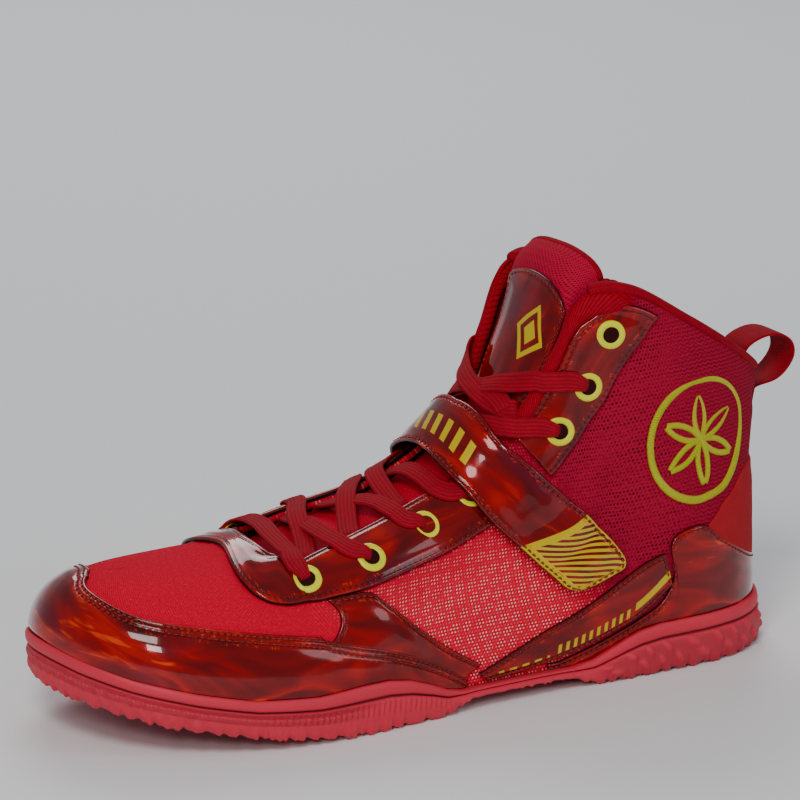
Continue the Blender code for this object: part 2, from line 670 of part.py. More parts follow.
def make_strap():
    """A band over the laces, its lateral end free on hook-and-loop and its medial end sewn."""
    half = side_rows(STRAP, 3)
    other = half[-2:2:-1].copy()
    other[:, (1, 3)] = 3 - other[:, (1, 3)]
    rows = np.concatenate((half, other))
    share = np.linspace(0, 1, 4)[None, :]
    t = rows[:, 0:1] + (rows[:, 2:3] - rows[:, 0:1]) * share
    q = rows[:, 1:2] + (rows[:, 3:4] - rows[:, 1:2]) * share
    near_top = ease(np.minimum(q, 3 - q), 0.50, 0.78)
    base = over(t, q, STRAP_SIDE + (STRAP_OVER_LACE - STRAP_SIDE) * near_top)
    outer = base + grid_normals(base) * STRAP_THICK
    return shell("strap", outer, base, PATENT)


EYELETS = ((5.20, 0.68), (6.13, 0.73), (7.03, 0.76), (7.80, 0.80), (9.72, 0.77), (10.80, 0.77), (11.55, 0.88))


def on_skin(s, u, east, north, lift):
    """Points a short way east (towards rising s) and north (up the rib) of rib s and rise u."""
    centre = bare_skin(s, u)
    normal = skin_normal(s, u)
    up = unit(bare_skin(s, u + 0.01) - bare_skin(s, u - 0.01))
    side = np.cross(up, normal)
    target = centre + east[:, None] * side + north[:, None] * up
    places, rises = np.full(len(east), float(s)), np.full(len(east), float(u))
    for _ in range(4):
        miss = target - bare_skin(places, rises)
        by_s = (bare_skin(places + 0.005, rises) - bare_skin(places - 0.005, rises)) / 0.01
        by_u = (bare_skin(places, rises + 0.002) - bare_skin(places, rises - 0.002)) / 0.004
        flat = np.stack((by_s, by_u), axis=-1)
        move = np.einsum("nij,nj->ni", np.linalg.pinv(flat), miss)
        places, rises = places + move[:, 0], rises + move[:, 1]
    return skin(places, rises, lift)


def make_eyelet(name, side, rib, rise):
    """A round ring that lies on the eyestay."""
    count = 10
    turn = np.arange(count) * 2 * math.pi / count
    rings = []
    for radius, lift in ((EYELET_HOLE, EYELET_BASE), (EYELET_HOLE, EYELET_BASE + EYELET_THICK),
                         (EYELET_RADIUS, EYELET_BASE + EYELET_THICK), (EYELET_RADIUS, EYELET_BASE)):
        rings.append(on_skin(side * rib, rise, radius * np.cos(turn), radius * np.sin(turn), lift))
    points = np.stack(rings, axis=1).reshape(-1, 3)
    faces = []
    for i in range(count):
        n = (i + 1) % count
        for j in range(4):
            k = (j + 1) % 4
            faces.append((i * 4 + j, i * 4 + k, n * 4 + k, n * 4 + j))
    return make_object(name, points, faces, LIME)


# Lace strands: ribs and places across from start to end, then the heights of the lace's middle
# above the upper at its start and end, as shares of LACE_BASE
LACES_LOWER = (
    ((5.12, 5.47, 5.56, 5.47, 5.12), (0.72, 1.0, 1.5, 2.0, 2.28), 1.3, 1.3),
    ((5.50, 6.25, 6.13), (1.93, 1.0, 0.77), 0.45, 1.0),
    ((5.50, 6.25, 6.13), (1.07, 2.0, 2.23), 0.85, 1.0),
    ((6.36, 7.12, 7.03), (1.93, 1.0, 0.80), 0.45, 1.0),
    ((6.36, 7.12, 7.03), (1.07, 2.0, 2.20), 0.85, 1.0),
    ((7.22, 7.88, 7.80), (1.93, 1.0, 0.84), 0.45, 1.0),
    ((7.22, 7.88, 7.80), (1.07, 2.0, 2.16), 0.85, 1.0),
)
LACES_UPPER = (
    ((8.82, 8.92, 9.25, 9.52), (1.90, 1.0, 0.86, 0.81), 0.75, 1.0),
    ((8.82, 8.92, 9.25, 9.52), (1.10, 2.0, 2.14, 2.19), 1.05, 1.0),
    ((9.40, 9.58, 10.10, 10.52), (1.90, 1.0, 0.86, 0.81), 0.80, 1.0),
    ((9.02, 9.58, 10.10, 10.52), (1.08, 2.0, 2.14, 2.19), 1.10, 1.0),
)

# Where the points of a strand with so many of them lie along its length
LACE_KNOTS = {3: (0, 0.72, 1), 4: (0, 0.62, 0.82, 1), 5: (0, 0.2, 0.5, 0.8, 1)}
LACE_SECTION = ((-0.9, -1), (0.9, -1), (1, 0), (0.9, 1), (-0.9, 1), (-1, 0))


def lace_strand(name, strand):
    """One flat length of lace over the throat, from under one flap to an eyelet on the other."""
    ribs, across, start, end = strand
    knots = LACE_KNOTS[len(ribs)]
    v = np.linspace(0, 1, 9)
    t = curve_through(knots, ribs, v)
    q = curve_through(knots, across, v)
    share = ease(v, 0.0, 0.62)
    lift = LACE_BASE * (start + (end - start) * share) + LACE_THICK / 2
    path = over(t, q, lift)
    normal = unit(over(t, q, 2 * MM) - over(t, q, -2 * MM))
    heading = unit(np.gradient(path, axis=0))
    sideways = unit(np.cross(normal, heading)) * LACE_WIDTH / 2
    return section_sweep(name, path, sideways, normal * LACE_THICK / 2, LACE_SECTION, TAPE)


def make_laces(name, strands):
    """The strands of one stretch of lacing, joined where they cross."""
    first = lace_strand(name, strands[0])
    for number, strand in enumerate(strands[1:], 1):
        other = lace_strand(f"{name}_strand_{number}", strand)
        other.hide_render = True
        other.display_type = "WIRE"
        join = first.modifiers.new(f"join_{number}", "BOOLEAN")
        join.operation = "UNION"
        join.object = other
    return first


def make_binding():
    """The round edge binding that follows the collar from flap to flap round the heel."""
    side = np.linspace(11.0, HEEL_RIB, 15)
    s = np.concatenate((-side, side[-2::-1]))
    edge, below = skin(s, 1.0, -UPPER_WALL / 2), skin(s, 0.985, -UPPER_WALL / 2)
    up = unit(edge - below)
    across = skin_normal(s, np.ones(len(s)))
    path = edge + up * (BINDING_RADIUS + SKIN_GAP)
    turn = np.arange(6) * math.pi / 3
    section = np.stack((np.cos(turn), np.sin(turn)), axis=1)
    return section_sweep("collar_binding", path, across * BINDING_RADIUS, up * BINDING_RADIUS, section, TAPE)


# Pull loop, from its sewn end inside the collar to its end outside: metres behind and above the
# collar's back edge
PULL_LOOP = (
    (-6.2, -12.0), (-6.0, -4.0), (-5.6, 2.0), (-2.8, 7.8), (3.5, 10.8), (10.0, 11.0), (15.5, 8.0),
    (16.5, 2.5), (12.5, -2.5), (6.8, -5.0), (3.0, -8.0), (1.6, -14.0),
)


def make_pull_loop():
    """A loop of tape at the heel, sewn to the collar inside and out."""
    shape = side_rows(np.array(PULL_LOOP) * MM, 2)
    back = bare_skin(float(HEEL_RIB), 1.0)
    path = np.stack((back[0] + shape[:, 0], np.full(len(shape), back[1]), back[2] + shape[:, 1]), axis=1)
    heading = unit(np.gradient(path, axis=0))
    sideways = np.array((0, 1.0, 0))
    normal = unit(np.cross(heading, sideways))
    width = np.linspace(-0.5, 0.5, 2)[None, :, None] * LOOP_WIDTH * sideways
    outer = path[:, None, :] + width + normal[:, None, :] * LOOP_THICK / 2
    inner = path[:, None, :] + width - normal[:, None, :] * LOOP_THICK / 2
    return shell("pull_loop", outer, inner, TAPE)


def stand_at_origin():
    """Moves the shoe so that the origin is under the middle of its box, on the ground."""
    bpy.context.view_layer.update()
    corners = np.array([tuple(v.co) for obj in bpy.data.objects if not obj.hide_render
                        for v in obj.data.vertices])
    low, high = corners.min(axis=0), corners.max(axis=0)
    shift = -np.array(((low[0] + high[0]) / 2, (low[1] + high[1]) / 2, 0.0))
    for mesh in {obj.data for obj in bpy.data.objects}:
        for vertex in mesh.vertices:
            vertex.co = tuple(np.array(vertex.co) + shift)


def main():
    for obj in list(bpy.data.objects):
        bpy.data.objects.remove(obj)
    make_sole()
    make_insole()
    make_upper()
    wrapped_panel("toe_guard", TOE_GUARD)
    wrapped_panel("lower_eyestay", LOWER_EYESTAY, across=4)
    wrapped_panel("heel_counter", HEEL_COUNTER, across=2)
    wrapped_panel("heel_gore", HEEL_GORE, across=2, finish=GORE)
    for side, word in ((-1, "lateral"), (1, "medial")):
        one_panel("side_bar_" + word, SIDE_BAR, side)
        one_panel("side_stripe_" + word, SIDE_STRIPE, side, across=2)
        one_panel("upper_eyestay_" + word, UPPER_EYESTAY, side)
        for number, (rib, rise) in enumerate(EYELETS, 1):
            make_eyelet(f"eyelet_{word}_{number}", side, rib, rise)
    make_tongue()
    make_tongue_panel()
    make_laces("laces_lower", LACES_LOWER)
    make_laces("laces_upper", LACES_UPPER)
    make_strap()
    make_binding()
    make_pull_loop()
    stand_at_origin()


main()
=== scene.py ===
"""Looks of a left wrestling shoe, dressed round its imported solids.

The toe points along -X, the lateral side is at -Y and +Z is up. The outside of the upper is drawn
by ribs from the sole's edge to the ridge, the throat or the collar, and every sewn piece is a
stretch of that surface.
"""
import math

import bmesh
import bpy
import numpy as np
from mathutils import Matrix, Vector


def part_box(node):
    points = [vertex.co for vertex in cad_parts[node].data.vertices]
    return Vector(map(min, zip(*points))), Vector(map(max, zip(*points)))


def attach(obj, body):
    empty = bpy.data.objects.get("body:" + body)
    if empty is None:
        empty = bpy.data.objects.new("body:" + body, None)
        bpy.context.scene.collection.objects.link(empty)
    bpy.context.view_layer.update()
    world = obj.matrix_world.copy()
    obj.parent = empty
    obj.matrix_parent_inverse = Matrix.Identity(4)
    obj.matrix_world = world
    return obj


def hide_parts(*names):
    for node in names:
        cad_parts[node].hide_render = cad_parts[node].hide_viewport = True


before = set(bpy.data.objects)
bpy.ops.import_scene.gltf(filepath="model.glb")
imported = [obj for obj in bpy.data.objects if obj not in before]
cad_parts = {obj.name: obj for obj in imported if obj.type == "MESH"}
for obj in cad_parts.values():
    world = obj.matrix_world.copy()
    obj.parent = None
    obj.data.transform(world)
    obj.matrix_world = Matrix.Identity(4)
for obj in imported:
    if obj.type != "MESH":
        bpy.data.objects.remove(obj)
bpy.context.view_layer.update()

bl_info = {
    "name": "Wrestling shoe looks",
    "version": (1, 0, 0),
    "blender": (4, 5, 0),
    "location": "View3D > Sidebar > Shoe",
    "description": "Dresses the solids of a wrestling shoe with mesh, glossy film, lace and rubber",
    "category": "Object",
}

MM = 0.001
TURN = 2 * math.pi

# Main sizes of the shoe: those of its solids, and a lace a little thinner
LENGTH = 285 * MM
BALL_WIDTH = 90 * MM
COLLAR_HEIGHT = 141 * MM
TOE_SPRING = 18.5 * MM
SPRING_START = 0.63
ARCH_RISE = 4.2 * MM
UPPER_WALL = 2.0 * MM
SKIN_GAP = 0.55 * MM
OVERLAY_TOP = 1.55 * MM
TONGUE_THICK = 3.5 * MM
INSOLE_ROOM = 1.0 * MM
SOLE_FLOOR = 6.5 * MM
SOLE_STACK = 18.5 * MM
LIP_WIDTH = 3.0 * MM
GROUND_OUT = 4.5 * MM
TREAD_DEPTH = 2.2 * MM
TOOTH_HEIGHT = 1.5 * MM
TOOTH_BITE = 1.3 * MM
RIM_WIDTH = 7.5 * MM
EYELET_RADIUS = 5.3 * MM
EYELET_HOLE = 2.7 * MM
EYELET_LIFT = 1.95 * MM
EYELET_THICK = 0.85 * MM
HOLE_LIFT = 2.30 * MM
FILM_THICK = 0.6 * MM
ROW_GAP = 2.1 * MM
LACE_WIDTH = 7.2 * MM
LACE_THICK = 1.25 * MM
EYELET_BASE = OVERLAY_TOP + SKIN_GAP
LACE_BASE = EYELET_BASE + 1.1 * MM
STRAP_SIDE = OVERLAY_TOP + SKIN_GAP
STRAP_OVER_LACE = LACE_BASE + LACE_THICK + SKIN_GAP
THROAT_START = 0.708
THROAT_ROUND = 8 * MM
THROAT_FALL = 4 * MM
THROAT_FALL_LENGTH = 32 * MM
THROAT_RIB = 5
BRIDGE_REACH = 0.36
TOE_TURN = 6 * MM

# Ribs from the toe tip to the back of the heel. Along is measured from the heel, as shares of
# LENGTH; lateral, medial, outs and gap are shares of BALL_WIDTH; ups, drops and heights are
# shares of COLLAR_HEIGHT. A rib leaves the sole by its low handle and ends by its high handle.
# Columns: along, lateral, medial, low_out, low_up, high_out, high_drop, top_along, gap, height
RIBS = (
    (0.972, -0.100, 0.100, 0.067, 0.170, 0.033, 0.000, 0.877, 0.167, 0.399),
    (0.951, 0.156, 0.322, 0.067, 0.177, 0.055, 0.000, 0.870, 0.167, 0.402),
    (0.905, 0.328, 0.444, 0.067, 0.191, 0.100, 0.000, 0.842, 0.167, 0.408),
    (0.835, 0.444, 0.494, 0.056, 0.213, 0.133, 0.000, 0.796, 0.167, 0.413),
    (0.758, 0.500, 0.494, 0.056, 0.234, 0.111, 0.000, 0.747, 0.200, 0.421),
    (0.684, 0.506, 0.461, 0.056, 0.241, 0.050, 0.000, 0.708, 0.250, 0.435),
    (0.589, 0.467, 0.394, 0.056, 0.241, 0.160, 0.007, 0.625, 0.235, 0.444),
    (0.491, 0.417, 0.344, 0.056, 0.255, 0.144, 0.021, 0.526, 0.180, 0.496),
    (0.393, 0.383, 0.322, 0.056, 0.284, 0.133, 0.057, 0.439, 0.183, 0.582),
    (0.302, 0.367, 0.328, 0.056, 0.298, 0.111, 0.156, 0.373, 0.222, 0.702),
    (0.239, 0.359, 0.333, 0.050, 0.312, 0.056, 0.241, 0.334, 0.268, 0.858),
    (0.196, 0.353, 0.333, 0.050, 0.298, 0.022, 0.298, 0.301, 0.302, 0.993),
    (0.161, 0.344, 0.328, 0.050, 0.284, -0.011, 0.312, 0.238, 0.350, 1.000),
    (0.119, 0.328, 0.317, 0.050, 0.270, -0.022, 0.298, 0.154, 0.356, 0.904),
    (0.070, 0.278, 0.272, 0.044, 0.248, -0.033, 0.255, 0.077, 0.300, 0.805),
    (0.030, 0.167, 0.167, 0.039, 0.227, -0.044, 0.213, 0.023, 0.178, 0.730),
    (0.012, 0.000, 0.000, 0.033, 0.213, -0.067, 0.213, 0.005, 0.000, 0.706),
)
HEEL_RIB = len(RIBS) - 1
SIDES = ((-1, "lateral"), (1, "medial"))

# Top of the sole's side, as shares of LENGTH from the heel and of SOLE_STACK
LIP = (
    (0.000, 1.005), (0.193, 0.990), (0.225, 0.910), (0.246, 0.800), (0.270, 0.650), (0.295, 0.500),
    (0.326, 0.430), (0.491, 0.430), (0.516, 0.520), (0.540, 0.690), (0.572, 0.875), (0.604, 0.970),
    (0.639, 0.975), (0.702, 0.930), (0.782, 1.015), (0.849, 1.220), (0.912, 1.480), (0.954, 1.730),
    (0.985, 1.970),
)

# Creases that wear has pressed into the mesh: rib, rise, half length in ribs, half width in rise,
# slant in rise per rib, and depth in millimetres
CREASES = (
    (-4.5, 0.80, 0.9, 0.020, 0.10, 0.5), (-3.9, 0.90, 0.9, 0.016, 0.10, 0.4),
    (4.4, 0.80, 0.9, 0.020, -0.10, 0.5), (3.9, 0.90, 0.9, 0.016, -0.10, 0.4),
    (-9.6, 0.42, 1.3, 0.035, -0.05, 0.9), (-9.2, 0.56, 1.0, 0.030, -0.06, 0.7),
    (-11.0, 0.50, 1.2, 0.040, 0.03, 0.8), (-13.4, 0.47, 1.3, 0.030, 0.05, 0.6),
    (9.6, 0.42, 1.3, 0.035, 0.05, 0.9), (9.2, 0.56, 1.0, 0.030, 0.06, 0.7),
    (11.0, 0.50, 1.2, 0.040, -0.03, 0.8), (13.4, 0.47, 1.3, 0.030, -0.05, 0.6),
    (-12.6, 0.92, 1.4, 0.025, 0.02, 0.6), (-14.6, 0.88, 1.0, 0.030, 0.00, 0.6),
    (12.6, 0.92, 1.4, 0.025, -0.02, 0.6), (14.6, 0.88, 1.0, 0.030, 0.00, 0.6),
)


def rib_loop():
    """The ribs in metres, round the shoe from the lateral heel by the toe to the medial side.

    The last column keeps the gap without a sign, so that it stays smooth over the toe tip."""
    scale = np.array((LENGTH, BALL_WIDTH, BALL_WIDTH, BALL_WIDTH, COLLAR_HEIGHT, BALL_WIDTH,
                      COLLAR_HEIGHT, LENGTH, BALL_WIDTH, COLLAR_HEIGHT))
    rows = np.array(RIBS) * scale
    rows = np.column_stack((rows, rows[:, 8]))
    lateral = np.delete(rows, 2, axis=1)
    medial = np.delete(rows, 1, axis=1)
    lateral[:, (1, 7)] *= -1
    return np.concatenate((lateral[:0:-1], medial[:-1]))


LOOP = rib_loop()


def unit(v):
    return v / np.maximum(np.linalg.norm(v, axis=-1, keepdims=True), 1e-12)


def ease(x, start, end):
    """0 before start, 1 after end and a soft step between them."""
    f = np.clip((x - start) / (end - start), 0, 1)
    return f * f * (3 - 2 * f)


def floor_height(along):
    """Height of the bed that the upper and insole stand on."""
    share = np.clip((along / LENGTH - SPRING_START) / (1 - SPRING_START), 0, None)
    return SOLE_FLOOR + TOE_SPRING * share ** 1.45


def foot_centre(along):
    """How far the foot's middle line bends to the medial side towards the toe."""
    share = np.clip((along / LENGTH - 0.56) / 0.42, 0, None)
    return TOE_TURN * share ** 1.3


def rib_values(s):
    """Table values at place s round the loop: 0 at the toe tip, below 0 lateral, above 0 medial."""
    s = np.asarray(s, float)
    index = np.floor(s).astype(int)
    f = (s - index)[..., None]
    p0, p1, p2, p3 = (LOOP[(index + k + HEEL_RIB) % len(LOOP)] for k in (-1, 0, 1, 2))
    return 0.5 * (2 * p1 + (p2 - p0) * f + (2 * p0 - 5 * p1 + 4 * p2 - p3) * f ** 2
                  + (3 * p1 - p0 - 3 * p2 + p3) * f ** 3)


def outward(s):
    """Level direction that points out of the sole's outline at s, as along and across."""
    turn = (rib_values(s + 0.45) - rib_values(s - 0.45))[..., :2]
    turn = turn / np.linalg.norm(turn, axis=-1, keepdims=True)
    return np.stack((turn[..., 1], -turn[..., 0]), axis=-1)


def rib_points(s):
    """The four control points of the rib at s, as distance along, across and up."""
    row = rib_values(s)
    out = outward(s)
    foot_along, foot_across, low_out, low_up, high_out, high_drop, top_along, gap, height, width = \
        np.moveaxis(row, -1, 0)
    opened = np.clip((THROAT_START * LENGTH - top_along) / THROAT_ROUND, 0, 1)
    opened = np.sqrt(1 - (1 - opened) ** 2)
    top_across = gap * opened + foot_centre(top_along)
    high_out = high_out + width * (1 - opened)
    behind_front = THROAT_START * LENGTH - top_along
    height = height - THROAT_FALL * opened * (1 - ease(behind_front, 0, THROAT_FALL_LENGTH))
    foot = np.stack((foot_along, foot_across, floor_height(foot_along)), axis=-1)
    top = np.stack((top_along, top_across, height), axis=-1)
    low = foot + np.stack((out[..., 0] * low_out, out[..., 1] * low_out, low_up), axis=-1)
    high = top + np.stack((out[..., 0] * high_out, out[..., 1] * high_out, -high_drop), axis=-1)
    return foot, low, high, top


def free_place(points):
    """Turns distances from the heel into a place whose origin is at half the shoe's length."""
    return np.stack((LENGTH / 2 - points[..., 0], points[..., 1], points[..., 2]), axis=-1)


def frame_shift():
    """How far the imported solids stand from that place, read from the insole's box."""
    s = np.concatenate((-np.linspace(0, HEEL_RIB, 29)[::-1], np.linspace(0, HEEL_RIB, 29)[1:-1]))
    out = outward(s)
    inset = UPPER_WALL + INSOLE_ROOM
    edge = free_place(rib_points(s)[0])[:, :2] - np.stack((-out[:, 0], out[:, 1]), axis=1) * inset
    low, high = (np.array(corner)[:2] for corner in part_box("insole"))
    return np.array((*((low + high) / 2 - (edge.min(axis=0) + edge.max(axis=0)) / 2), 0.0))


SHIFT = frame_shift()


def to_world(points):
    """Turns distances from the heel into places in the frame."""
    return free_place(points) + SHIFT


def bezier(controls, u):
    u = np.asarray(u, float)[..., None]
    a, b, c, d = controls
    return (1 - u) ** 3 * a + 3 * (1 - u) ** 2 * u * b + 3 * (1 - u) * u ** 2 * c + u ** 3 * d


def bare_skin(s, u):
    return to_world(bezier(rib_points(s), u))


def skin_normal(s, u):
    step_s, step_u = 0.10, 0.004
    along = bare_skin(s + step_s, u) - bare_skin(s - step_s, u)
    rise = bare_skin(s, u + step_u) - bare_skin(s, u - step_u)
    return unit(np.cross(rise, along))


def crease_depth(s, u):
    """Depth of the worn creases at rib s and rise u, with a soft lip on both sides of each."""
    depth = np.zeros(np.broadcast(s, u).shape)
    for rib, rise, reach, width, slant, size in CREASES:
        across = (u - rise - slant * (s - rib)) / width
        fade = np.exp(-((s - rib) / reach) ** 2 * 1.5)
        depth += size * MM * fade * (np.exp(-across ** 2) - 0.45 * np.exp(-(np.abs(across) - 2.2) ** 2))
    return depth


def skin(s, u, lift=0.0):
    """The point of the upper's outside at rib s and rise u (0 sole, 1 top), lifted off it."""
    s, u, lift = np.broadcast_arrays(np.asarray(s, float), np.asarray(u, float), np.asarray(lift, float))
    normal = skin_normal(s, u)
    on_ridge = (u >= 1) & (np.abs(s) <= THROAT_RIB)
    beside = unit(skin_normal(s, 0.985 * u) + skin_normal(-s, 0.985 * u))
    normal = np.where(on_ridge[..., None], beside, normal)
    return bare_skin(s, u) + normal * (lift - crease_depth(s, u))[..., None]


def curve_through(knots, rows, places):
    """A cubic through rows of values at rising knots, read at the given places."""
    knots = np.asarray(knots, float)
    rows = np.asarray(rows, float)
    slope = np.gradient(rows, knots, axis=0)
    index = np.clip(np.searchsorted(knots, places, side="right") - 1, 0, len(knots) - 2)
    span = knots[index + 1] - knots[index]
    f = (np.asarray(places) - knots[index]) / span
    if rows.ndim > 1:
        f, span = f[:, None], span[:, None]
    return ((2 * f ** 3 - 3 * f ** 2 + 1) * rows[index] + (f ** 3 - 2 * f ** 2 + f) * span * slope[index]
            + (3 * f ** 2 - 2 * f ** 3) * rows[index + 1] + (f ** 3 - f ** 2) * span * slope[index + 1])


def side_rows(rows, steps):
    """A smooth curve through the rows of a table, with the given steps from row to row."""
    last = len(rows) - 1
    return curve_through(np.arange(last + 1), rows, np.linspace(0, last, steps * last + 1))


def lip_height(along):
    share, height = np.array(LIP).T
    return SOLE_STACK * np.interp(along / LENGTH, share, height)


def ground_height(along):
    """Underside of the sole: flat at heel and forefoot, raised at the arch and towards the toe."""
    share = along / LENGTH
    arch = ease(share, 0.285, 0.345) * (1 - ease(share, 0.475, 0.525))
    return floor_height(along) - SOLE_FLOOR + ARCH_RISE * arch


def lip_rise(s):
    """Rise u on the rib at s that is as high as the top of the sole's side there."""
    s = np.atleast_1d(np.asarray(s, float))
    samples = np.linspace(0, 0.4, 17)
    height = bare_skin(s[:, None], samples[None, :])[..., 2]
    target = lip_height(rib_points(s)[0][..., 0])
    return np.array([np.interp(t, h, samples) for t, h in zip(target, height)])


def throat_bridge(t, q, lift=0.0):
    """A curve over the throat at rib t, q from 0 at the lateral edge to 1 at the medial edge."""
    t, q, lift = np.broadcast_arrays(np.asarray(t, float), np.asarray(q, float), np.asarray(lift, float))
    start, end = skin(-t, 1.0, lift), skin(t, 1.0, lift)
    reach = np.linalg.norm(end - start, axis=-1, keepdims=True) * BRIDGE_REACH
    rise_start = unit(bare_skin(-t, 1.0) - bare_skin(-t, 0.97))
    rise_end = unit(bare_skin(t, 1.0) - bare_skin(t, 0.97))
    return bezier((start, start + rise_start * reach, end + rise_end * reach, end), q)


def over(t, q, lift=0.0):
    """The point at rib t of a line over the shoe: q 0 to 1 up the lateral side, to 2 across the
    throat and to 3 down the medial side."""
    t, q, lift = np.broadcast_arrays(np.asarray(t, float), np.asarray(q, float), np.asarray(lift, float))
    lateral = skin(-t, np.clip(q, 0, 1), lift)
    medial = skin(t, np.clip(3 - q, 0, 1), lift)
    middle = throat_bridge(t, np.clip(q - 1, 0, 1), lift)
    q = q[..., None]
    return np.where(q <= 1, lateral, np.where(q >= 2, medial, middle))


def on_skin(s, u, east, north, lift):
    """Points a short way east (towards rising s) and north (up the rib) of rib s and rise u."""
    centre = bare_skin(s, u)
    normal = skin_normal(s, u)
    up = unit(bare_skin(s, u + 0.01) - bare_skin(s, u - 0.01))
    side = np.cross(up, normal)
    target = centre + east[..., None] * side + north[..., None] * up
    places, rises = np.full(east.shape, float(s)), np.full(east.shape, float(u))
    for _ in range(5):
        miss = target - bare_skin(places, rises)
        by_s = (bare_skin(places + 0.005, rises) - bare_skin(places - 0.005, rises)) / 0.01
        by_u = (bare_skin(places, rises + 0.002) - bare_skin(places, rises - 0.002)) / 0.004
        flat = np.stack((by_s, by_u), axis=-1)
        move = np.einsum("...ij,...j->...i", np.linalg.pinv(flat), miss)
        places, rises = places + move[..., 0], rises + move[..., 1]
    return skin(places, rises, lift)


def arc(points, axis):
    """Distance run along an axis of a grid of points, in metres."""
    step = np.linalg.norm(np.diff(points, axis=axis), axis=-1)
    run = np.cumsum(step, axis=axis)
    start = np.zeros_like(np.take(run, [0], axis=axis))
    return np.concatenate((start, run), axis=axis)


def grid_normals(grid):
    """Unit normals of a grid of points, outwards where its rows run from lateral to medial."""
    return unit(np.cross(np.gradient(grid, axis=1), np.gradient(grid, axis=0)))


def tint(name, description, default):
    """One colour that a user would change."""
    return bpy.props.FloatVectorProperty(
        name=name, description=description, default=default, subtype="COLOR", min=0, max=1)


class ShoeColours(bpy.types.PropertyGroup):
    film: tint("Film", "Deep red under the gloss of the sewn panels", (0.165, 0.0003, 0.0016))
    film_glow: tint("Film glow", "Orange light that wanders through the film", (0.90, 0.075, 0.002))
    vamp: tint("Vamp mesh", "Bright red of the fine mesh over the toes", (0.77, 0.0012, 0.034))
    ankle: tint("Ankle mesh", "Crimson of the mesh round the ankle", (0.36, 0.003, 0.026))
    lace: tint("Lace", "Red of the laces, binding and tapes", (0.36, 0.0006, 0.0125))
    rubber: tint("Rubber", "Rose red of the rubber sole", (0.62, 0.018, 0.046))
    lime: tint("Lime", "Yellow of eyelets and embroidery", (0.74, 0.73, 0.0))
    print_yellow: tint("Print", "Mustard yellow of the printed marks", (0.62, 0.44, 0.0))


class ShoeSizes(bpy.types.PropertyGroup):
    stitch_pitch: bpy.props.FloatProperty(
        name="Stitch pitch", description="Distance from one stitch to the next",
        default=2.3 * MM, min=1 * MM, max=5 * MM, unit="LENGTH")
    stitch_radius: bpy.props.FloatProperty(
        name="Thread radius", description="Half the thickness of the sewing thread",
        default=0.33 * MM, min=0.1 * MM, max=0.6 * MM, unit="LENGTH")
    seam_inset: bpy.props.FloatProperty(
        name="Seam inset", description="Distance of the first stitch row from a panel's edge",
        default=1.6 * MM, min=0.5 * MM, max=4 * MM, unit="LENGTH")
    key_power: bpy.props.FloatProperty(
        name="Key light", description="Power of the large soft light", default=16, min=0, unit="POWER")


def colour(name):
    return tuple(getattr(bpy.context.scene.shoe_colours, name))


def size(name):
    return getattr(bpy.context.scene.shoe_sizes, name)


def shaded(tone, share):
    """A colour made darker or lighter."""
    return tuple(min(1.0, share * c) for c in tone)


class Wire:
    """A value in a material's nodes; sums and products of it add Math nodes."""

    def __init__(self, paint, socket):
        self.paint = paint
        self.socket = socket

    def maths(self, operation, *others):
        values = dict(enumerate((self, *others)))
        return self.paint.node("ShaderNodeMath", {"operation": operation}, values)[0]

    def __add__(self, other):
        return self.maths("ADD", other)

    def __sub__(self, other):
        return self.maths("SUBTRACT", other)

    def __rsub__(self, other):
        return (self * -1).maths("ADD", other)

    def __mul__(self, other):
        return self.maths("MULTIPLY", other)

    __radd__ = __add__
    __rmul__ = __mul__

    def cosine(self):
        return self.maths("COSINE")

    def wave(self, pitch):
        """A cosine that repeats at every pitch of the value."""
        return (self * (TURN / pitch)).cosine()

    def within(self, low, high, soft):
        """1 between low and high and 0 outside, with soft ends."""
        return self.step(low, low + soft) * (1 - self.step(high, high + soft))

    def step(self, low, high):
        """A soft step from 0 at low to 1 at high."""
        settings = {"interpolation_type": "SMOOTHSTEP"}
        values = {0: self, 1: low, 2: high, 3: 0.0, 4: 1.0}
        return self.paint.node("ShaderNodeMapRange", settings, values)[0]


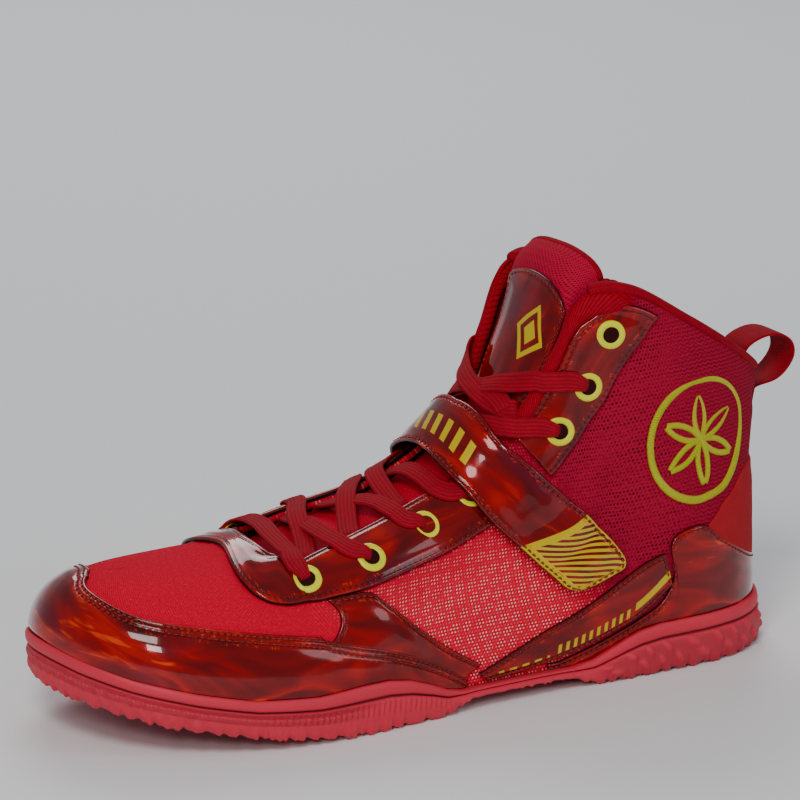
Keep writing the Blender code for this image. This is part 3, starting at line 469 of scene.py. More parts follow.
class Paint:
    """One material and its nodes."""

    def __init__(self, name, **constants):
        self.material = bpy.data.materials.new(name)
        self.material.use_nodes = True
        self.tree = self.material.node_tree
        self.shader = self.tree.nodes["Principled BSDF"]
        for socket, value in constants.items():
            self.shader.inputs[socket.replace("_", " ")].default_value = value

    def node(self, kind, settings=(), values=()):
        """Adds a node: its settings first, then the values or links of its sockets."""
        made = self.tree.nodes.new(kind)
        for name, value in dict(settings).items():
            if name == "stops":
                self.set_stops(made.color_ramp, value)
            else:
                setattr(made, name, value)
        for key, value in dict(values).items():
            if isinstance(value, Wire):
                self.tree.links.new(value.socket, made.inputs[key])
            else:
                made.inputs[key].default_value = value
        return [Wire(self, socket) for socket in made.outputs]

    def set_stops(self, ramp, stops):
        while len(ramp.elements) < len(stops):
            ramp.elements.new(0.5)
        for element, (place, tone) in zip(ramp.elements, stops):
            element.position = place
            element.color = (*tone, 1)

    def ramp(self, value, *stops):
        return self.node("ShaderNodeValToRGB", {"stops": stops}, {0: value})[0]

    def mix(self, share, first, second):
        """Colour between first and second."""
        first, second = (c if isinstance(c, Wire) else (*c, 1) for c in (first, second))
        return self.node("ShaderNodeMix", {"data_type": "RGBA"}, {0: share, 6: first, 7: second})[2]

    def shades(self, share, tone, low, high):
        """A tone that runs from its low to its high share."""
        return self.mix(share, shaded(tone, low), shaded(tone, high))

    def arc_map(self):
        """The piece's own map in millimetres, as two values."""
        at = self.node("ShaderNodeUVMap", {"uv_map": "Arc"})[0]
        u, v, _ = self.node("ShaderNodeSeparateXYZ", (), {0: at})
        return u * 1000, v * 1000

    def place(self, *scale):
        """Object coordinates scaled along X, Y and Z."""
        at = self.node("ShaderNodeTexCoord")[3]
        return self.node("ShaderNodeMapping", (), {0: at, 3: scale})[0]

    def joined(self, x, y, z=0.0):
        return self.node("ShaderNodeCombineXYZ", (), {0: x, 1: y, 2: z})[0]

    def noise(self, at, scale, detail=2.0, rough=0.5, bend=0.0):
        values = {"Vector": at, "Scale": scale, "Detail": detail, "Roughness": rough, "Distortion": bend}
        return self.node("ShaderNodeTexNoise", (), values)[0]

    def attribute(self, name):
        return self.node("ShaderNodeAttribute", {"attribute_name": name})[2]

    def bump(self, height, distance, strength=1.0):
        values = {"Height": height, "Distance": distance, "Strength": strength}
        return self.node("ShaderNodeBump", (), values)[0]

    def feed(self, **links):
        for socket, value in links.items():
            self.tree.links.new(value.socket, self.shader.inputs[socket.replace("_", " ")])
        return self.material

    def dots(self, u, v, pitch):
        """A honeycomb of soft dots: near 1 at each dot's middle and below 0 between them."""
        turn = 4 * math.pi / (math.sqrt(3) * pitch)
        waves = [(u * (math.cos(a) * turn) + v * (math.sin(a) * turn)).cosine()
                 for a in (math.pi / 2, math.pi / 6, -math.pi / 6)]
        return (waves[0] + waves[1] + waves[2]) * (1 / 3)


def film_colours(paint, u, v):
    """Base colour of the glossy red film: dark, with long soft lights and a few bright glints."""
    drift = paint.noise(paint.joined(u * 0.024, v * 0.060), 1.0, 2.0, 0.45, 1.4)
    fine = paint.noise(paint.joined(u * 0.060, v * 0.26), 1.0, 1.0, 0.4, 1.2)
    deep = colour("film")
    tone = paint.ramp(drift, (0.26, (0.050, 0.0001, 0.0012)), (0.42, deep),
                      (0.52, shaded(deep, 1.7)), (0.60, (0.42, 0.004, 0.001)), (0.68, deep),
                      (0.82, (0.085, 0.0006, 0.006)))
    streak = fine.step(0.62, 0.74) * drift.step(0.46, 0.58)
    tone = paint.mix(streak * 0.6, tone, colour("film_glow"))
    haze = paint.noise(paint.joined(u * 0.030, v * 0.050, 7.3), 1.0, 1.0, 0.4, 0.8).step(0.54, 0.66)
    return paint.mix(haze * 0.5, tone, (0.120, 0.004, 0.020))


def film_material(name, seams, mark=None):
    """Clear red film over a mottled backing, with a dark cut edge, needle holes and painted glints along its
    seams.

    seams are their distances from the edge, and mark(u, v) is the share of a yellow print."""
    paint = Paint(name, Metallic=0.1, Specular_IOR_Level=0.15, Coat_Weight=1.0,
                  Coat_Roughness=0.02, Coat_IOR=1.32)
    edge = paint.attribute("edge") * 1000
    u, v = paint.arc_map()
    share = mark(u, v) if mark else 0.0
    tone = paint.mix(share, film_colours(paint, u, v), colour("print_yellow"))
    cut = 1 - edge.step(0.12, 0.55)
    height = paint.noise(paint.place(1.0, 1.0, 1.0), 48.0, 1.0, 0.4, 0.4) * 1.6
    holes = 0.0
    needle = u.wave(size("stitch_pitch") / MM).step(-0.2, 0.7)
    for seam in seams:
        near = (edge - seam / MM).maths("ABSOLUTE")
        trench = 1 - near.step(0.1, 0.95)
        holes = holes + trench * needle
        height = height - trench * (needle * 0.5 + 0.3)
        # Painted highlight: orange glints in a band 1.3 mm inside each seam, where the film would pucker and
        # catch the light
        pucker_glint_band = 1 - (near - 1.3).maths("ABSOLUTE").step(0.0, 0.9)
        glint = paint.noise(paint.joined(u * 0.9, edge * 0.5, seam), 1.0, 1.0).step(0.58, 0.68)
        tone = paint.mix(pucker_glint_band * glint * 0.7, tone, (0.62, 0.030, 0.004))
    tone = paint.mix(holes * 0.75, tone, (0.020, 0.0002, 0.001))
    tone = paint.mix(cut, tone, (0.006, 0.0005, 0.002))
    return paint.feed(Base_Color=tone, Roughness=cut * 0.4 + share * 0.15 + 0.14,
                      Normal=paint.bump(height, 0.55 * MM, 0.7))


def upper_material():
    """Knitted mesh: fine and bright over the toes, open and lit at the quarters, dark at the ankle."""
    paint = Paint("upper_mesh", Specular_IOR_Level=0.06)
    u, v = paint.arc_map()
    quarter = paint.attribute("quarter")
    ankle = paint.attribute("ankle")
    rear = paint.attribute("rear")
    bright = paint.attribute("bright")
    vamp_tone = colour("vamp")
    knit = u.wave(1.15) * v.wave(0.9)
    cloud = paint.noise(paint.joined(u, v), 0.9, 3.0, 0.75)
    vamp = paint.shades(knit * 0.25 + cloud * 0.9, vamp_tone, 0.45, 1.15)
    # Painted highlight: pale orange patches where the fine vamp knit glints
    vamp = paint.mix(cloud.step(0.60, 0.72) * 0.5, vamp, (0.90, 0.075, 0.060))
    hole = paint.dots(u, v, 1.42)
    cell = paint.dots(u, v, 5.4).step(-0.34, -0.02)
    patch = paint.noise(paint.joined(u, v), 0.13, 2.0).step(0.28, 0.60)
    # Painted backlight: the quarter mesh's holes shine pale pink and its ground is lighter, most round rib
    # 7.3 and low on the side
    lit = hole.step(0.10, 0.62) * (cell * 0.85 + 0.15) * (patch * 0.5 + 0.5) * bright
    ground = paint.shades(bright, vamp_tone, 0.55, 0.95)
    ground = paint.mix(cell * 0.5, ground, shaded(vamp_tone, 0.62))
    honey = paint.mix(lit, ground, (1.0, 0.42, 0.38))
    gap = paint.dots(u, v, 1.62).step(-0.12, 0.48)
    wave = (v * (TURN / 3.7) + u.wave(7.0) * 1.4).cosine().step(-0.7, 0.4)
    weave = (v * (TURN / 1.55) + u.wave(3.4) * 1.1).cosine().step(0.2, 0.9)
    mottle = paint.noise(paint.joined(u * 0.7, v), 0.085, 2.0, 0.5, 0.6).step(0.34, 0.66)
    dark = gap * (wave * 0.6 + 0.4) * (mottle * 0.45 + 0.5) * (1 - rear * 0.75) + weave * rear * 0.5
    deep = colour("ankle")
    thread = paint.noise(paint.joined(u * 0.7, v * 2.6), 1.1, 2.0, 0.6)
    body = paint.mix(thread, shaded(deep, 0.45), (0.56, 0.014, 0.055))
    body = paint.mix(dark * 0.92, body, (0.018, 0.0003, 0.002))
    tone = paint.mix(quarter, vamp, honey)
    tone = paint.mix(ankle, tone, body)
    roll = paint.attribute("roll")
    # Painted shade: the ribbed roll's slanted creases are darkened
    crease = (u + v * 0.9).wave(2.1).step(0.5, 1.0)
    band = paint.mix(crease * 0.7, colour("lace"), shaded(colour("lace"), 0.2))
    tone = paint.mix(roll, tone, band)
    height = knit * 0.15 * (1 - quarter) + hole * quarter * (1 - ankle) * -0.25 - dark * ankle * 0.5
    height = height + (thread * 0.3 + weave * rear * -0.3) * ankle
    # Painted glow: the lit holes of the quarter mesh give off light, though the mesh is no lamp
    glow = paint.mix(lit * quarter * (1 - ankle) * (1 - roll), (0.0, 0.0, 0.0), (1.0, 0.22, 0.20))
    paint.shader.inputs["Emission Strength"].default_value = 0.12
    return paint.feed(Base_Color=tone, Emission_Color=glow, Roughness=0.85 - cloud * 0.1,
                      Normal=paint.bump(height, 0.4 * MM, 0.8))


def fabric_material(name, tone, pitch, tilt, depth=0.2, spread=0.35):
    """A close woven fabric with a fine slanted rib."""
    paint = Paint(name, Specular_IOR_Level=0.15)
    u, v = paint.arc_map()
    rib = (u + v * tilt).wave(pitch)
    cross = v.wave(pitch * 0.8)
    cloud = paint.noise(paint.joined(u, v), 0.16, 3.0)
    share = rib * 0.18 + cross * 0.1 + cloud * 0.5 + 0.15
    body = paint.shades(share, tone, 1 - spread, 1 + 0.5 * spread)
    return paint.feed(Base_Color=body, Roughness=0.88 - cloud * 0.1,
                      Normal=paint.bump(rib * 0.5 + cross * 0.3, depth * MM, 0.6))


def net_material():
    """Fine red net with small dark holes: bright under the laces, crimson at the tongue's top."""
    paint = Paint("tongue_net", Specular_IOR_Level=0.15)
    u, v = paint.arc_map()
    top = paint.attribute("top")
    hole = paint.dots(u, v, 1.25).step(0.05, 0.6)
    rows = u.wave(2.6) * 0.25 + 0.75
    cloud = paint.noise(paint.joined(u, v), 0.8, 3.0, 0.7)
    body = paint.shades(cloud, colour("vamp"), 0.5, 1.0)
    body = paint.mix(top, body, shaded(colour("ankle"), 1.3))
    body = paint.mix(hole * rows * (top * 0.55 + 0.3), body, (0.020, 0.0003, 0.002))
    return paint.feed(Base_Color=body, Roughness=0.9 - cloud * 0.1,
                      Normal=paint.bump(hole * -0.4 + cloud * 0.2, 0.3 * MM, 0.6))


def ribbed_material():
    """The knitted edge of the ankle flaps, with thin slanted creases darkened by painted shade."""
    paint = Paint("flap_rib_knit", Specular_IOR_Level=0.15)
    u, v = paint.arc_map()
    line = (u + v * 1.1).wave(2.1).step(0.45, 1.0)
    cloud = paint.noise(paint.joined(u, v), 0.5, 3.0, 0.6)
    tone = paint.shades(cloud, colour("lace"), 0.75, 1.2)
    # Painted shade in the slanted creases
    tone = paint.mix(line * 0.5, tone, shaded(colour("lace"), 0.18))
    return paint.feed(Base_Color=tone, Roughness=0.9 - cloud * 0.05,
                      Normal=paint.bump(line * -0.8 + cloud * 0.15, 0.3 * MM, 0.7))


def lace_material():
    """Flat woven lace: fine chevron threads along its ribs."""
    paint = Paint("lace_weave", Specular_IOR_Level=0.2)
    u, v = paint.arc_map()
    rib = v.wave(1.35)
    thread = (u + rib * 0.35).wave(0.75)
    cloud = paint.noise(paint.joined(u, v), 0.2, 2.0)
    share = rib * 0.22 + thread * 0.14 + cloud * 0.5 + 0.25
    tone = paint.shades(share, colour("lace"), 0.42, 1.25)
    return paint.feed(Base_Color=tone, Roughness=0.78 + cloud * 0.1,
                      Normal=paint.bump(rib * 0.4 + thread * 0.3, 0.2 * MM, 0.6))


def rubber_material():
    """Moulded rose-red rubber, a little cloudy, with painted shade in its side groove and low between the
    heel knobs, and finely hatched in front.
    """
    paint = Paint("sole_rubber", Specular_IOR_Level=0.45)
    cloud = paint.noise(paint.place(1.0, 1.0, 1.0), 26.0, 4.0, 0.6)
    grain = paint.noise(paint.place(1.0, 1.0, 1.0), 900.0, 3.0, 0.6)
    hollow = paint.attribute("hollow")
    u, v = paint.arc_map()
    hatch = (u + v * 0.8).wave(1.7) * paint.attribute("hatch")
    tone = colour("rubber")
    body = paint.shades(cloud, tone, 0.80, 1.12)
    # Painted shade: darker in the side groove and low between the heel knobs
    body = paint.mix(hollow * 0.9, body, (0.045, 0.001, 0.004))
    body = paint.mix(hatch.step(0.0, 1.0) * 0.3, body, shaded(tone, 0.45))
    return paint.feed(Base_Color=body, Roughness=0.46 + cloud * 0.2,
                      Normal=paint.bump(grain * 0.3 + cloud * 0.4 - hatch * 0.8, 0.3 * MM, 0.6))


def lime_material(name, thread=False):
    """Lime yellow: painted metal for eyelets, or satin thread for embroidery."""
    paint = Paint(name, Specular_IOR_Level=0.5)
    cloud = paint.noise(paint.place(1.0, 1.0, 1.0), 120.0, 3.0)
    tone = colour("lime")
    if not thread:
        body = paint.shades(cloud, tone, 0.86, 1.08)
        return paint.feed(Base_Color=body, Roughness=0.28 + cloud * 0.12,
                          Normal=paint.bump(cloud, 0.1 * MM, 0.3))
    u, v = paint.arc_map()
    rib = (u + v * 0.35).wave(0.62)
    body = paint.shades(rib * 0.4 + cloud * 0.4 + 0.25, tone, 0.62, 1.0)
    return paint.feed(Base_Color=body, Roughness=0.55 + cloud * 0.1,
                      Normal=paint.bump(rib, 0.22 * MM, 0.9))


def thread_material():
    paint = Paint("seam_thread", Specular_IOR_Level=0.4)
    cloud = paint.noise(paint.place(1.0, 1.0, 1.0), 400.0, 2.0)
    body = paint.mix(cloud, (0.10, 0.0008, 0.002), (0.42, 0.006, 0.004))
    return paint.feed(Base_Color=body, Roughness=0.45 + cloud * 0.2)


MATERIALS = {}


def material(name):
    """The material of that name, made when it is first used."""
    if name not in MATERIALS:
        MATERIALS[name] = MAKERS[name]()
    return MATERIALS[name]


def new_grid(name, rows, columns):
    """A flat grid of that many points, ready to be shaped."""
    bpy.ops.object.select_all(action="DESELECT")
    bpy.ops.mesh.primitive_grid_add(x_subdivisions=rows - 1, y_subdivisions=columns - 1, size=2)
    obj = bpy.context.active_object
    obj.name = obj.data.name = name
    return obj


def grid_piece(name, points, finish, flip=False, arcs=None, marks=(), merge=False):
    """A surface shaped from a flat grid; arcs is its map in metres and marks its named values."""
    rows, columns = points.shape[:2]
    obj = new_grid(name, rows, columns)
    mesh = obj.data
    flat = np.empty(len(mesh.vertices) * 3)
    mesh.vertices.foreach_get("co", flat)
    flat = flat.reshape(-1, 3)
    i = np.rint((flat[:, 0] + 1) / 2 * (rows - 1)).astype(int)
    j = np.rint((flat[:, 1] + 1) / 2 * (columns - 1)).astype(int)
    mesh.vertices.foreach_set("co", points[i, j].ravel())
    if arcs is None:
        arcs = np.stack((arc(points, 0), arc(points, 1)), axis=-1)
    corners = np.empty(len(mesh.loops), dtype=int)
    mesh.loops.foreach_get("vertex_index", corners)
    layer = mesh.uv_layers.active
    layer.name = "Arc"
    layer.data.foreach_set("uv", arcs[i, j][corners].ravel())
    for mark, values in dict(marks).items():
        values = np.broadcast_to(values, points.shape[:2])
        mesh.attributes.new(mark, "FLOAT", "POINT").data.foreach_set("value", values[i, j].ravel())
    if flip:
        mesh.flip_normals()
    if merge:
        weld(obj)
    mesh.materials.append(material(finish))
    mesh.shade_smooth()
    return obj


def weld(obj):
    """Joins the points that meet at a closed surface's seams and poles."""
    body = bmesh.new()
    body.from_mesh(obj.data)
    bmesh.ops.remove_doubles(body, verts=body.verts, dist=0.002 * MM)
    bmesh.ops.dissolve_degenerate(body, edges=body.edges, dist=0.001 * MM)
    body.to_mesh(obj.data)
    body.free()


def thicken(obj, thickness, inner=None):
    """Gives a surface its wall, inwards, and its rim; inner is the finish of the inside."""
    wall = obj.modifiers.new("wall", "SOLIDIFY")
    wall.thickness = thickness
    wall.offset = -1
    wall.use_quality_normals = True
    if inner:
        obj.data.materials.append(material(inner))
        wall.material_offset = 1
    bpy.context.view_layer.objects.active = obj
    bpy.ops.object.modifier_apply(modifier=wall.name)


def settle(obj, slot, *nodes):
    """Hangs a piece under the root body and hides the solids that it stands for; slot is not used."""
    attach(obj, "root")
    if nodes:
        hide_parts(*nodes)
    return obj


def sweep(name, path, across, up, section, finish, ring=False, twist=None, flip=True):
    """A bead along a path, closed at its ends unless it is a ring; section holds shares of across
    and up, scaled by twist."""
    section = np.array(section)
    section = np.concatenate((section, section[:1]))
    if twist is None:
        twist = np.ones((len(path), 2))
    if not ring:
        path, across, up = (np.concatenate((a[:1], a, a[-1:])) for a in (path, across, up))
        twist = np.concatenate((np.zeros((1, 2)), twist, np.zeros((1, 2))))
    shape = section[None, :, :] * twist[:, None, :]
    points = path[:, None, :] + across[:, None, :] * shape[..., 0:1] + up[:, None, :] * shape[..., 1:2]
    run = np.broadcast_to(arc(path, 0)[:, None], points.shape[:2])
    turn = np.concatenate(((0,), np.cumsum(np.linalg.norm(np.diff(points[len(path) // 2], axis=0), axis=1))))
    arcs = np.stack((run, np.broadcast_to(turn, points.shape[:2])), axis=-1)
    return grid_piece(name, points, finish, flip=flip, arcs=arcs, merge=True)


def round_section(count, squared=(1.0, 1.0)):
    """A circle of that many points; powers under 1 draw it out towards a box."""
    turn = np.arange(count) * TURN / count
    return np.stack([np.sign(wave) * np.abs(wave) ** power
                     for wave, power in zip((np.cos(turn), np.sin(turn)), squared)], axis=1)


def read_along(run, values, places):
    """Rows of three values along a line, read at places on its run."""
    return np.stack([np.interp(places, run, values[:, k]) for k in range(3)], axis=1)


def stitches(name, lines):
    """Rows of stitches; each line is a pair of points and normals along a seam."""
    pitch, radius = size("stitch_pitch"), size("stitch_radius")
    reach = pitch * 0.36
    bpy.ops.object.select_all(action="DESELECT")
    bpy.ops.mesh.primitive_uv_sphere_add(segments=6, ring_count=4, radius=1)
    grain = bpy.context.active_object
    shape = np.array([tuple(v.co) for v in grain.data.vertices])
    faces = [tuple(p.vertices) for p in grain.data.polygons]
    bpy.data.objects.remove(grain)
    points, sides = [], []
    for path, normals in lines:
        run = arc(path, 0)
        count = int(run[-1] / pitch)
        if count < 1:
            continue
        places = (np.arange(count) + 0.5) * run[-1] / count
        at = read_along(run, path, places)
        up = unit(read_along(run, normals, places))
        heading = unit(read_along(run, path, places + 0.3 * MM) - read_along(run, path, places - 0.3 * MM))
        side = unit(np.cross(up, heading))
        for p, h, w, n in zip(at, heading, side, up):
            start = len(points) * len(shape)
            width = (shape[:, 0:1] * w + shape[:, 1:2] * n) * radius
            points.append(p + shape[:, 2:3] * h * reach + width)
            sides.extend(tuple(start + k for k in face) for face in faces)
    mesh = bpy.data.meshes.new(name)
    mesh.from_pydata([tuple(p) for p in np.concatenate(points)], [], sides)
    mesh.materials.append(material("seam_thread"))
    mesh.shade_smooth()
    obj = bpy.data.objects.new(name, mesh)
    bpy.context.collection.objects.link(obj)
    body = bmesh.new()
    body.from_mesh(mesh)
    bmesh.ops.recalc_face_normals(body, faces=body.faces)
    body.to_mesh(mesh)
    body.free()
    return settle(obj, "lace_tape")


# Panels of one side: rib and rise of the first edge, then rib and rise of the second edge
TOE_GUARD = (
    (7.08, 0.00, 7.10, 0.050), (6.65, 0.00, 6.65, 0.130), (6.20, 0.00, 6.20, 0.200),
    (5.70, 0.00, 5.70, 0.265), (5.00, 0.00, 5.00, 0.325), (4.00, 0.00, 4.00, 0.365), (3.00, 0.00, 3.00, 0.41),
    (2.00, 0.00, 2.00, 0.470), (1.00, 0.00, 1.00, 0.60), (0.00, 0.00, 0.00, 0.68),
)
LOWER_EYESTAY = (
    (8.30, 0.930, 8.30, 0.620), (7.60, 0.970, 7.63, 0.593), (7.10, 0.975, 7.15, 0.573),
    (6.50, 0.980, 6.55, 0.573), (6.00, 0.980, 6.04, 0.565), (5.75, 0.975, 5.70, 0.562),
    (5.55, 0.960, 5.38, 0.556), (5.38, 0.920, 5.10, 0.522), (5.24, 0.865, 4.79, 0.490),
    (5.12, 0.815, 4.37, 0.508), (5.00, 0.785, 4.08, 0.553), (4.90, 0.795, 3.92, 0.630),
    (4.87, 0.845, 3.87, 0.740), (4.86, 0.915, 3.95, 0.865), (4.85, 1.000, 4.12, 1.000),
)
SIDE_BAR = (
    (5.14, 0.310, 5.30, 0.545), (5.45, 0.285, 5.86, 0.545), (5.92, 0.235, 6.10, 0.435),
    (6.30, 0.180, 6.42, 0.295), (6.68, 0.120, 6.84, 0.175), (7.05, 0.050, 7.32, 0.080),
)
SIDE_STRIPE = (
    (7.42, 0.02, 7.28, 0.050), (8.00, 0.025, 7.90, 0.104), (8.60, 0.045, 8.52, 0.155),
    (9.40, 0.080, 9.35, 0.208), (10.40, 0.120, 10.45, 0.252), (11.80, 0.196, 11.72, 0.288),
)
HEEL_COUNTER = (
    (8.35, 0.00, 8.35, 0.025), (9.30, 0.00, 9.30, 0.070), (10.35, 0.00, 10.35, 0.112),
    (11.30, 0.00, 11.30, 0.155), (11.92, 0.00, 11.88, 0.222), (12.10, 0.00, 11.99, 0.315),
    (12.70, 0.00, 12.62, 0.370), (13.10, 0.00, 13.05, 0.385), (13.50, 0.00, 13.47, 0.350),
    (14.50, 0.00, 14.50, 0.290), (15.25, 0.00, 15.25, 0.270), (16.00, 0.00, 16.00, 0.262),
)
HEEL_GORE = (
    (13.12, 0.370, 13.13, 0.385), (13.50, 0.335, 13.52, 0.445), (14.00, 0.305, 14.00, 0.525),
    (14.50, 0.275, 14.50, 0.600), (15.25, 0.255, 15.25, 0.655), (16.00, 0.247, 16.00, 0.670),
)
UPPER_EYESTAY = (
    (11.50, 0.960, 12.45, 0.962), (11.25, 0.93, 12.12, 0.872), (10.70, 0.925, 11.50, 0.76),
    (9.95, 0.925, 11.00, 0.700), (9.43, 0.93, 10.20, 0.690), (8.80, 0.94, 9.15, 0.680),
)


def panel_places(rows, side, across, steps):
    """Rib and rise of each point of a panel, rows along it and columns across it."""
    curve = side_rows(rows, steps)
    share = np.linspace(0, 1, across + 1)[None, :]
    places = side * (curve[:, 0:1] + (curve[:, 2:3] - curve[:, 0:1]) * share)
    foot = 0.6 * MM / (COLLAR_HEIGHT * 0.75)
    low = np.maximum(curve[:, 1:2], lip_rise(side * curve[:, 0])[:, None] - foot)
    high = np.maximum(curve[:, 3:4], lip_rise(side * curve[:, 2])[:, None] + 0.02)
    return places, np.minimum(low + (high - low) * share, 1.0)


def edge_distance(points, edges):
    """Distance from the named edges of a grid, in metres, and the run along each."""
    down, right = arc(points, 0), arc(points, 1)
    ways = {"start": down, "end": down[-1:] - down, "first": right, "second": right[:, -1:] - right}
    gaps = [ways[edge] for edge in edges]
    return np.minimum.reduce(gaps) if gaps else np.full(points.shape[:2], 1.0), ways


def film_lift(edge, seams, height):
    """Height of a film panel over the mesh: round edge, pressed seams and a foam swell."""
    rim = np.sqrt(np.clip(1 - (1 - np.clip(edge / (0.9 * MM), 0, 1)) ** 2, 0, 1))
    lift = height * (0.25 + 0.75 * rim) + 0.45 * MM * ease(edge, 3.5 * MM, 9 * MM)
    for seam in seams:
        lift = lift - 0.25 * MM * np.exp(-((edge - seam) / (0.6 * MM)) ** 2)
    return lift


def seam_lines(points, normals, ways, edges, seam):
    """Lines at the seam's distance inside each edge, kept clear of the other sewn edges."""
    lines = []
    for edge in edges:
        gap = ways[edge]
        turned = edge in ("start", "end")
        pts, nrm, d = (a.swapaxes(0, 1) if turned else a for a in (points, normals, gap))
        others = [ways[e].swapaxes(0, 1) if turned else ways[e] for e in edges if e != edge]
        path, up, keep = [], [], []
        for i in range(len(pts)):
            order = np.argsort(d[i])
            if d[i].max() < seam:
                keep.append(False)
                path.append(pts[i][0])
                up.append(nrm[i][0])
                continue
            path.append([np.interp(seam, d[i][order], pts[i][order, k]) for k in range(3)])
            up.append([np.interp(seam, d[i][order], nrm[i][order, k]) for k in range(3)])
            keep.append(all(np.interp(seam, d[i][order], o[i][order]) >= seam * 0.98 for o in others))
        path, up, keep = np.array(path), np.array(up), np.array(keep)
        if keep.sum() > 3:
            first, last = np.argmax(keep), len(keep) - np.argmax(keep[::-1])
            lines.append((path[first:last], up[first:last]))
    return lines


def film_panel(name, places, rises, height, edges, seams, finish, node, flip=True,
               slot="patent_film", evened=0):
    """A sewn panel on the upper with its stitches, evened out along its length so many times."""
    base = skin(places, rises)
    edge, ways = edge_distance(base, edges)
    points = skin(places, rises, film_lift(edge, seams, height))
    for _ in range(evened):
        points[1:-1] = (points[:-2] + 2 * points[1:-1] + points[2:]) / 4
    obj = grid_piece(name, points, finish, flip=flip, marks={"edge": edge})
    thicken(obj, FILM_THICK)
    settle(obj, slot, node)
    normals = skin_normal(places, rises)
    sewn = points + normals * size("stitch_radius") * 0.4
    lines = [line for seam in seams for line in seam_lines(sewn, normals, ways, edges, seam)]
    if lines:
        stitches(name + "_stitches", lines)


def seam_rows(*extra):
    """Distances of the rows of stitches from a panel's edge: the first and any further in."""
    return tuple(size("seam_inset") + more for more in (0.0, *extra))


def both_sides(rows, across, steps):
    """A panel's places over both sides in one piece, its last table row on the middle line."""
    lateral = panel_places(rows, -1, across, steps)
    medial = panel_places(rows, 1, across, steps)
    return [np.concatenate((a, b[-2::-1])) for a, b in zip(lateral, medial)]


class SHOE_OT_toe_guard(bpy.types.Operator):
    """Glossy guard round the toe, double stitched along its upper edge."""
    bl_idname = "shoe.toe_guard"
    bl_label = "Toe guard"

    def execute(self, context):
        places, rises = both_sides(TOE_GUARD, 40, 26)
        rises = rises * (1 + 0.30 * np.exp(-((places - 1.2) / 1.3) ** 2))
        film_panel("toe_guard_film", places, rises, 1.5 * MM, ("second",), seam_rows(ROW_GAP), "double_film",
                   "toe_guard")
        return {"FINISHED"}


class SHOE_OT_eyestays(bpy.types.Operator):
    """Lower eyestay round the throat's front and upper eyestays on the ankle flaps."""
    bl_idname = "shoe.eyestays"
    bl_label = "Eyestays"

    def execute(self, context):
        places, rises = both_sides(LOWER_EYESTAY, 44, 16)
        film_panel("lower_eyestay_film", places, rises, 1.5 * MM, ("first", "second"), seam_rows(),
                   "film", "lower_eyestay", evened=70)
        for side, word in SIDES:
            places, rises = panel_places(UPPER_EYESTAY, side, 34, 22)
            film_panel("upper_eyestay_film_" + word, places, rises, 1.4 * MM, ("start", "first", "second"),
                       seam_rows(), "film", "upper_eyestay_" + word, flip=side < 0)
        return {"FINISHED"}


class SHOE_OT_side_panels(bpy.types.Operator):
    """Slanted bars and long stripes on both sides."""
    bl_idname = "shoe.side_panels"
    bl_label = "Side panels"

    def execute(self, context):
        for side, word in SIDES:
            places, rises = panel_places(SIDE_BAR, side, 40, 18)
            bow = np.sin(np.linspace(0, math.pi, 41))[None, :] ** 0.8
            places = places + side * 0.17 * bow * np.linspace(1, 0, len(places))[:, None] ** 4
            film_panel("side_bar_film_" + word, places, rises, 0.95 * MM, ("start", "second"),
                       seam_rows(), "film", "side_bar_" + word, flip=side > 0)
            places, rises = panel_places(SIDE_STRIPE, side, 30, 40)
            film_panel("side_stripe_film_" + word, places, rises, 1.3 * MM, ("first", "second", "end"),
                       (size("seam_inset") * 0.8,), "stripe_print", "side_stripe_" + word,
                       flip=side > 0)
        return {"FINISHED"}


class SHOE_OT_heel_panels(bpy.types.Operator):
    """Heel counter and the smooth stretch panel above it."""
    bl_idname = "shoe.heel_panels"
    bl_label = "Heel panels"

    def execute(self, context):
        places, rises = both_sides(HEEL_GORE, 24, 18)
        film_panel("heel_gore_cloth", places, rises, 0.8 * MM, ("second",), (), "gore", "heel_gore",
                   slot="gore", flip=False)
        places, rises = both_sides(HEEL_COUNTER, 36, 18)
        film_panel("heel_counter_film", places, rises, 1.5 * MM, ("second",), seam_rows(), "film",
                   "heel_counter", flip=False)
        return {"FINISHED"}


def roll_bulge(s, u):
    """How far the padded front of the ankle flaps swells out of the mesh."""
    t = np.abs(s)
    return 1.2 * MM * ease(t, 8.6, 9.6) * (1 - ease(t, 11.7, 12.2)) * ease(u, 0.84, 0.92)


def collar_bulge(s, u):
    """Foam under the ankle's mesh, near the collar."""
    t = np.abs(s)
    return 0.8 * MM * ease(t, 12.0, 13.0) * ease(u, 0.60, 0.80) * (1 - ease(u, 0.93, 1.0))


